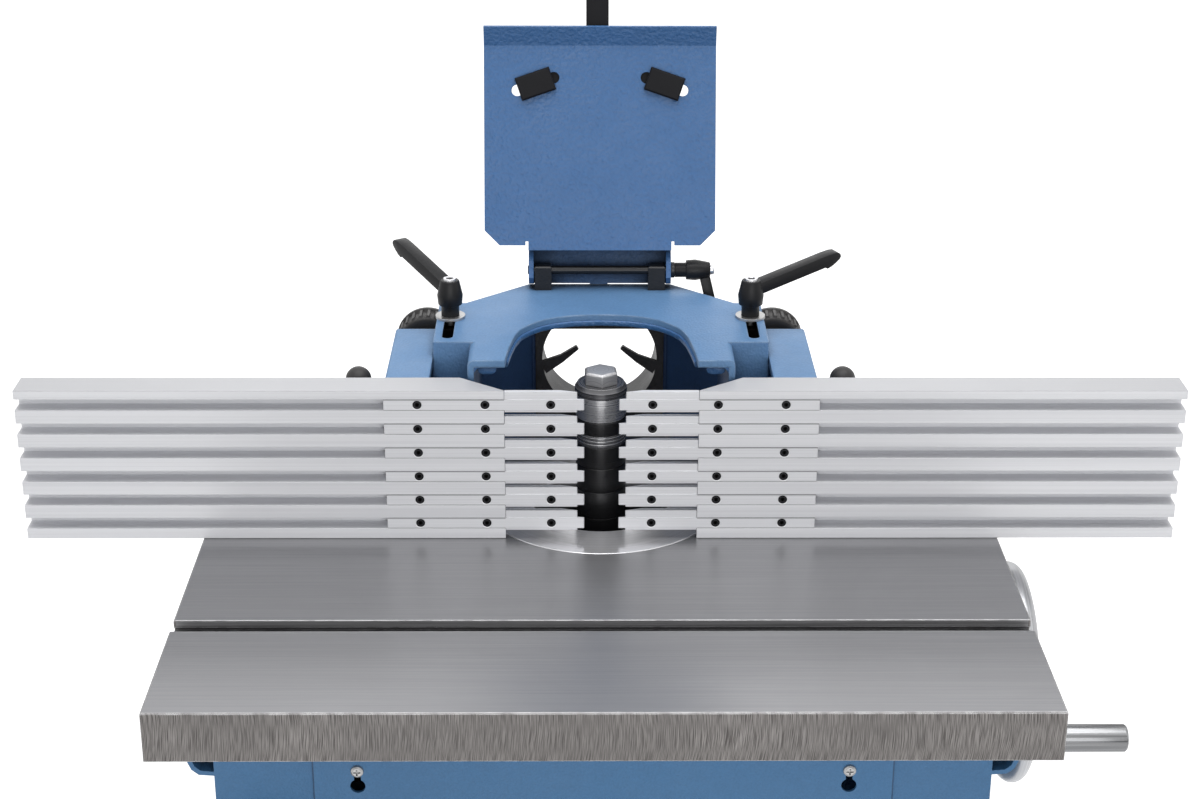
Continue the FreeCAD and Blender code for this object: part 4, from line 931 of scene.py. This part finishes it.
def make_handwheel():
    bm = bmesh.new()
    rim = bmesh.new()
    ring = bmesh.ops.create_circle(rim, segments=28, radius=RIM_RADIUS * MM)["verts"]
    bmesh.ops.rotate(rim, verts=ring, matrix=Matrix.Rotation(math.pi / 2, 3, "X"))
    bmesh.ops.translate(rim, verts=ring, vec=(CRANK_REACH * MM, 0, 0))
    bmesh.ops.spin(rim, geom=rim.verts[:] + rim.edges[:], axis=(0, 0, 1), angle=2 * math.pi,
                   steps=72, use_merge=True)
    bmesh.ops.remove_doubles(rim, verts=rim.verts, dist=1e-6)
    bmesh.ops.recalc_face_normals(rim, faces=rim.faces)
    set_in(bm, rim)
    set_in(bm, soften(lathe(HUB_HALF, 48), 0.8))
    root = Vector((12, 0, -24.5))
    tip = Vector((CRANK_REACH, 0, -2))
    long = (tip - root).length
    spoke = [(0, 0), (11, 0), (10, 8), (8.6, 0.3 * long), (7.6, 0.6 * long), (7.6, 0.8 * long)]
    spoke += [(8.6, long), (0, long)]
    for k in range(3):
        place = turn(120 * k, "Z") @ lift(*root) @ aimed(root, tip)
        set_in(bm, soften(lathe(spoke, 28), 0.4), place)
    stud = [(0, 0), (STUD_RADIUS, 0), (STUD_RADIUS, STUD_LONG), (0, STUD_LONG)]
    set_in(bm, lathe(stud, 24), lift(CRANK_REACH, 0, 0), 1)
    set_screw(bm, 5.6, 3.5, 5, lift(CRANK_REACH, 0, STUD_LONG), 1)
    # The first spoke and the crank lie at the crank's angle, measured from the back
    facing = Matrix(((0, 0, 1, 0), (1, 0, 0, 0), (0, 1, 0, 0), (0, 0, 0, 1)))
    place = at(WHEEL_ASIDE, WHEEL_BACK, WHEEL_UP) @ facing @ Matrix.Rotation(CRANK_TURN, 4, "Z")
    bmesh.ops.transform(bm, matrix=place, verts=bm.verts)
    piece("handwheel_rim", bm, (CHROME, HANDLE_STEEL_PAINTED_REFLECTIONS, SOCKET_SHADE), "handwheel", "handwheel")
    bm = soften(lathe(GRIP_HALF, 48), 0.4)
    place = at(GRIP_ASIDE, CRANK_BACK, CRANK_UP) @ TO_RIGHT
    bmesh.ops.transform(bm, matrix=place, verts=bm.verts)
    piece("crank_grip", bm, (HANDLE_STEEL_PAINTED_REFLECTIONS,), "crank_handle", "crank_handle")


# Spindle: a bright top ring, black rings parted by thin bright discs, and the bolt's turned hexagon

RING_LEVELS = [-8, 20, 45, 67, 70, 70.8, 73.4, 74.2, 76.8, 77.6, 79, 93, 117]
RING_BORE = 15.1
RING_RADIUS = 24
BOLT_FLATS = 30
HEAD_LOW = 127
HEAD_TOP = 139.5


def make_spindle_rings():
    bm = bmesh.new()
    for low, high in zip(RING_LEVELS, RING_LEVELS[1:]):
        thick = high - low
        edge = min(0.8, 0.2 * thick)
        profile = [(RING_BORE, low), (RING_RADIUS - edge, low), (RING_RADIUS, low + edge)]
        profile += [(RING_RADIUS, high - edge), (RING_RADIUS - edge, high)]
        ring = soften(lathe(profile + [(RING_BORE, high), (RING_BORE, low)], 64), 0.25)
        bright = high == RING_LEVELS[-1] or thick < 1
        set_in(bm, ring, None, 1 if bright else 2 if thick < 4 else 0)
    bmesh.ops.transform(bm, matrix=at(0, SPINDLE_BACK, 0), verts=bm.verts)
    piece("spacer_rings", bm, (BLACK_STEEL, TURNED_STEEL, CAP_STEEL), "spindle", "spindle_rings")


def make_spindle_bolt():
    bm = bmesh.new()
    corner = BOLT_FLATS / math.sqrt(3.0)
    head = [(0, HEAD_LOW), (corner, HEAD_LOW), (corner, HEAD_TOP - 2)]
    head = lathe(head + [(0.85 * corner, HEAD_TOP), (0, HEAD_TOP)], 6)
    set_in(bm, soften(head, 0.5), turn(34, "Z"))
    set_in(bm, threaded(10, 2.5, 62, 127.5))
    bmesh.ops.transform(bm, matrix=at(0, SPINDLE_BACK, 0), verts=bm.verts)
    piece("spindle_bolt_head", bm, (BOLT_STEEL,), "spindle", "spindle_bolt")


# Guard bar: rounded square bar with a plugged end

# The bar, its plug and the plug's step: width, length, rounding and its segments, middle along the
# bar, and finish
BAR_BLOCKS = ((22.5, 258, 2.0, 3, 241, 0), (22.1, 3, 1.2, 3, 370.5, 1), (14, 2, 0.9, 2, 371, 1))
BAR_ASIDE = -2.5
BAR_OFF = 0.75
BAR_LEAN = -17


def make_guard_bar():
    bm = bmesh.new()
    for width, long, rounding, segments, middle, finish in BAR_BLOCKS:
        solid = soften(block(width, width, long), rounding, segments)
        set_in(bm, solid, lift(BAR_ASIDE, BAR_OFF, middle), finish)
    place = at(0, HINGE_BACK, HINGE_UP) @ turn(BAR_LEAN, "X")
    bmesh.ops.transform(bm, matrix=place, verts=bm.verts)
    piece("guard_bar_tube", bm, (BAR_BLACK, MOULDED_BLACK), "guard_bar", "guard_bar")


# Housing trim: the bead under the arch's edge, and bosses and rounds in the hood's front corners

ARCH_HALF = [(-89.2, 370), (-88.4, 380), (-86.4, 399), (-83.2, 420.4), (-77.9, 439.6)]
ARCH_HALF += [(-68.6, 455), (-58.1, 466.3), (-43.6, 475), (-25, 480.7)]
ARCH_TOP = (0, 483)
BEAD = [(-3, 160), (0.6, 160.4), (1.7, 159.4), (2.1, 157.5), (1.7, 155.6), (0.6, 154.6)]
BEAD += [(-3, 154.6)]
BOSS = [(-9, 0), (9, 0), (9, -4), (7.5, -6.6), (4.5, -8), (-4.5, -8), (-7.5, -6.6), (-9, -4)]
INNER_ROUND = 8.0
# How far a round is sunk into the walls that it joins
SUNK = 0.3


def swept(path, section):
    """Carries a closed section of (aside, up) pairs along a level path of (across, back) places."""
    bm = bmesh.new()
    path = [Vector(p) for p in path]
    loops = []
    for k, place in enumerate(path):
        ahead = path[min(k + 1, len(path) - 1)] - path[max(k - 1, 0)]
        aside = Vector((ahead.y, -ahead.x)).normalized()
        loop = [spot(place.x + aside.x * u, place.y + aside.y * u, up) for u, up in section]
        loops.append([bm.verts.new(point) for point in loop])
    for near, far in zip(loops, loops[1:]):
        for k in range(len(section)):
            bm.faces.new((near[k - 1], near[k], far[k], far[k - 1]))
    bmesh.ops.holes_fill(bm, edges=[e for e in bm.edges if e.is_boundary])
    bmesh.ops.recalc_face_normals(bm, faces=bm.faces)
    return bm


def make_hood_trim():
    bm = bmesh.new()
    arch = ARCH_HALF + [ARCH_TOP] + [(-x, y) for x, y in reversed(ARCH_HALF)]
    set_in(bm, swept(arch, BEAD))
    quarter = [math.radians(a) for a in (90, 72, 54, 36, 18, 0)]
    corner = [(SUNK, -INNER_ROUND), (SUNK, SUNK), (-INNER_ROUND, SUNK)]
    corner += [(INNER_ROUND * (math.cos(a) - 1), INNER_ROUND * (math.sin(a) - 1)) for a in quarter]
    for side in (-1, 1):
        set_in(bm, soften(slab(BOSS, 14), 1.0), at(107 * side, 367, 159.2))
        set_in(bm, slab([(x * side, up) for x, up in corner], 120), at(119 * side, 418.3, 159))
    # The trim takes the cover's darker blue as painted shade under the arch
    piece("hood_trim", bm, (SHEET_BLUE,), "fence_housing")


make_hood_trim()
make_levers()
make_adjusters()
make_table_clamps()
make_handwheel()
make_spindle_rings()
make_spindle_bolt()
make_guard_bar()


# Floor, light and camera: the floor's tones, its glow to the camera by distance from the machine in
# metres, and its glow in reflections; most lamps aim at the middle

WHITE = (1.0, 1.0, 1.0, 1.0)
FLOOR_RADIUS = 30.0
FLOOR_TONES = ((0.6, 0.6, 0.6, 1.0), (0.64, 0.64, 0.64, 1.0))
GLOW_REACH = (0.55, 1.5)
GLOW_LEVELS = (0.48, 0.97)
MIRRORED_GLOW = 0.76
MIDDLE = (0.0, 0.0, 0.9)


def make_floor():
    bm = bmesh.new()
    bmesh.ops.create_circle(bm, cap_ends=True, segments=96, radius=FLOOR_RADIUS)
    mesh = bpy.data.meshes.new("floor")
    bm.to_mesh(mesh)
    bm.free()
    floor = placed("floor", mesh)
    finish = bpy.data.materials.new("pale_floor")
    finish.use_nodes = True
    tree = finish.node_tree
    shader = tree.nodes["Principled BSDF"]
    shader.inputs["Roughness"].default_value = 0.8
    grain = cloud(tree, here(tree), 30.0, 4.0)
    tree.links.new(mixed(tree, grain, *FLOOR_TONES), shader.inputs["Base Color"])
    shader.inputs["Emission Color"].default_value = WHITE
    path = put(tree, "LightPath").outputs
    glow = put(tree, "VectorMath", {0: here(tree)}, operation="LENGTH").outputs["Value"]
    glow = spread(tree, glow, *GLOW_REACH, *GLOW_LEVELS)
    glow = times(tree, glow, path["Is Camera Ray"])
    mirrored = maths(tree, "MAXIMUM", path["Is Glossy Ray"], path["Is Transmission Ray"])
    glow = plus(tree, glow, times(tree, mirrored, MIRRORED_GLOW))
    tree.links.new(glow, shader.inputs["Emission Strength"])
    mesh.materials.append(finish)


def make_world():
    world = bpy.data.worlds.new("studio")
    bpy.context.scene.world = world
    world.use_nodes = True
    tree = world.node_tree
    ground = tree.nodes["Background"]
    ground.inputs["Color"].default_value = WHITE
    path = put(tree, "LightPath").outputs
    seen = maths(tree, "MAXIMUM", path["Is Camera Ray"], path["Is Glossy Ray"])
    seen = maths(tree, "MAXIMUM", seen, path["Is Transmission Ray"])
    tree.links.new(spread(tree, seen, 0.0, 1.0, SKY, 1.0), ground.inputs["Strength"])


def make_lamp(name, place, target, width, height, power):
    lamp = bpy.data.lights.new(name, "AREA")
    lamp.shape = "RECTANGLE"
    lamp.size = width
    lamp.size_y = height
    lamp.energy = power
    thing = placed(name, lamp)
    thing.location = place
    thing.rotation_euler = (Vector(target) - Vector(place)).to_track_quat("-Z", "Y").to_euler()


def make_camera():
    lens = bpy.data.cameras.new("photo_view")
    lens.sensor_fit = "HORIZONTAL"
    lens.sensor_width = SENSOR
    lens.lens = FOCAL_PIXELS / PHOTO_WIDTH * SENSOR
    lens.clip_end = 100.0
    camera = placed("photo_view", lens)
    down, aside, roll = CAMERA_DOWN, CAMERA_ASIDE, CAMERA_ROLL
    level = math.cos(down)
    look = Vector((math.sin(aside) * level, math.cos(aside) * level, -math.sin(down)))
    across = Vector((math.cos(aside), -math.sin(aside), 0.0))
    below = look.cross(across)
    right = math.cos(roll) * across + math.sin(roll) * below
    under = math.cos(roll) * below - math.sin(roll) * across
    facing = Matrix((right, -under, -look)).transposed().to_4x4()
    camera.matrix_world = at(*CAMERA_SPOT) @ facing
    bpy.context.scene.camera = camera


make_floor()
make_world()
make_lamp("overhead", (0.1, -0.2, 3.6), MIDDLE, 3.0, 2.4, 66.0)
make_lamp("front_fill", (0.3, -4.2, 1.7), MIDDLE, 3.2, 2.0, 57.0)
make_lamp("left_fill", (-3.4, -0.8, 1.9), MIDDLE, 1.6, 2.0, 4.0)
make_lamp("right_fill", (3.4, -0.8, 1.9), MIDDLE, 1.6, 2.0, 4.0)
make_lamp("back_fill", (0.0, 3.6, 2.6), (0.0, 0.0, 1.0), 3.0, 1.6, 15.0)
make_camera()
bpy.context.scene.view_settings.view_transform = "Standard"
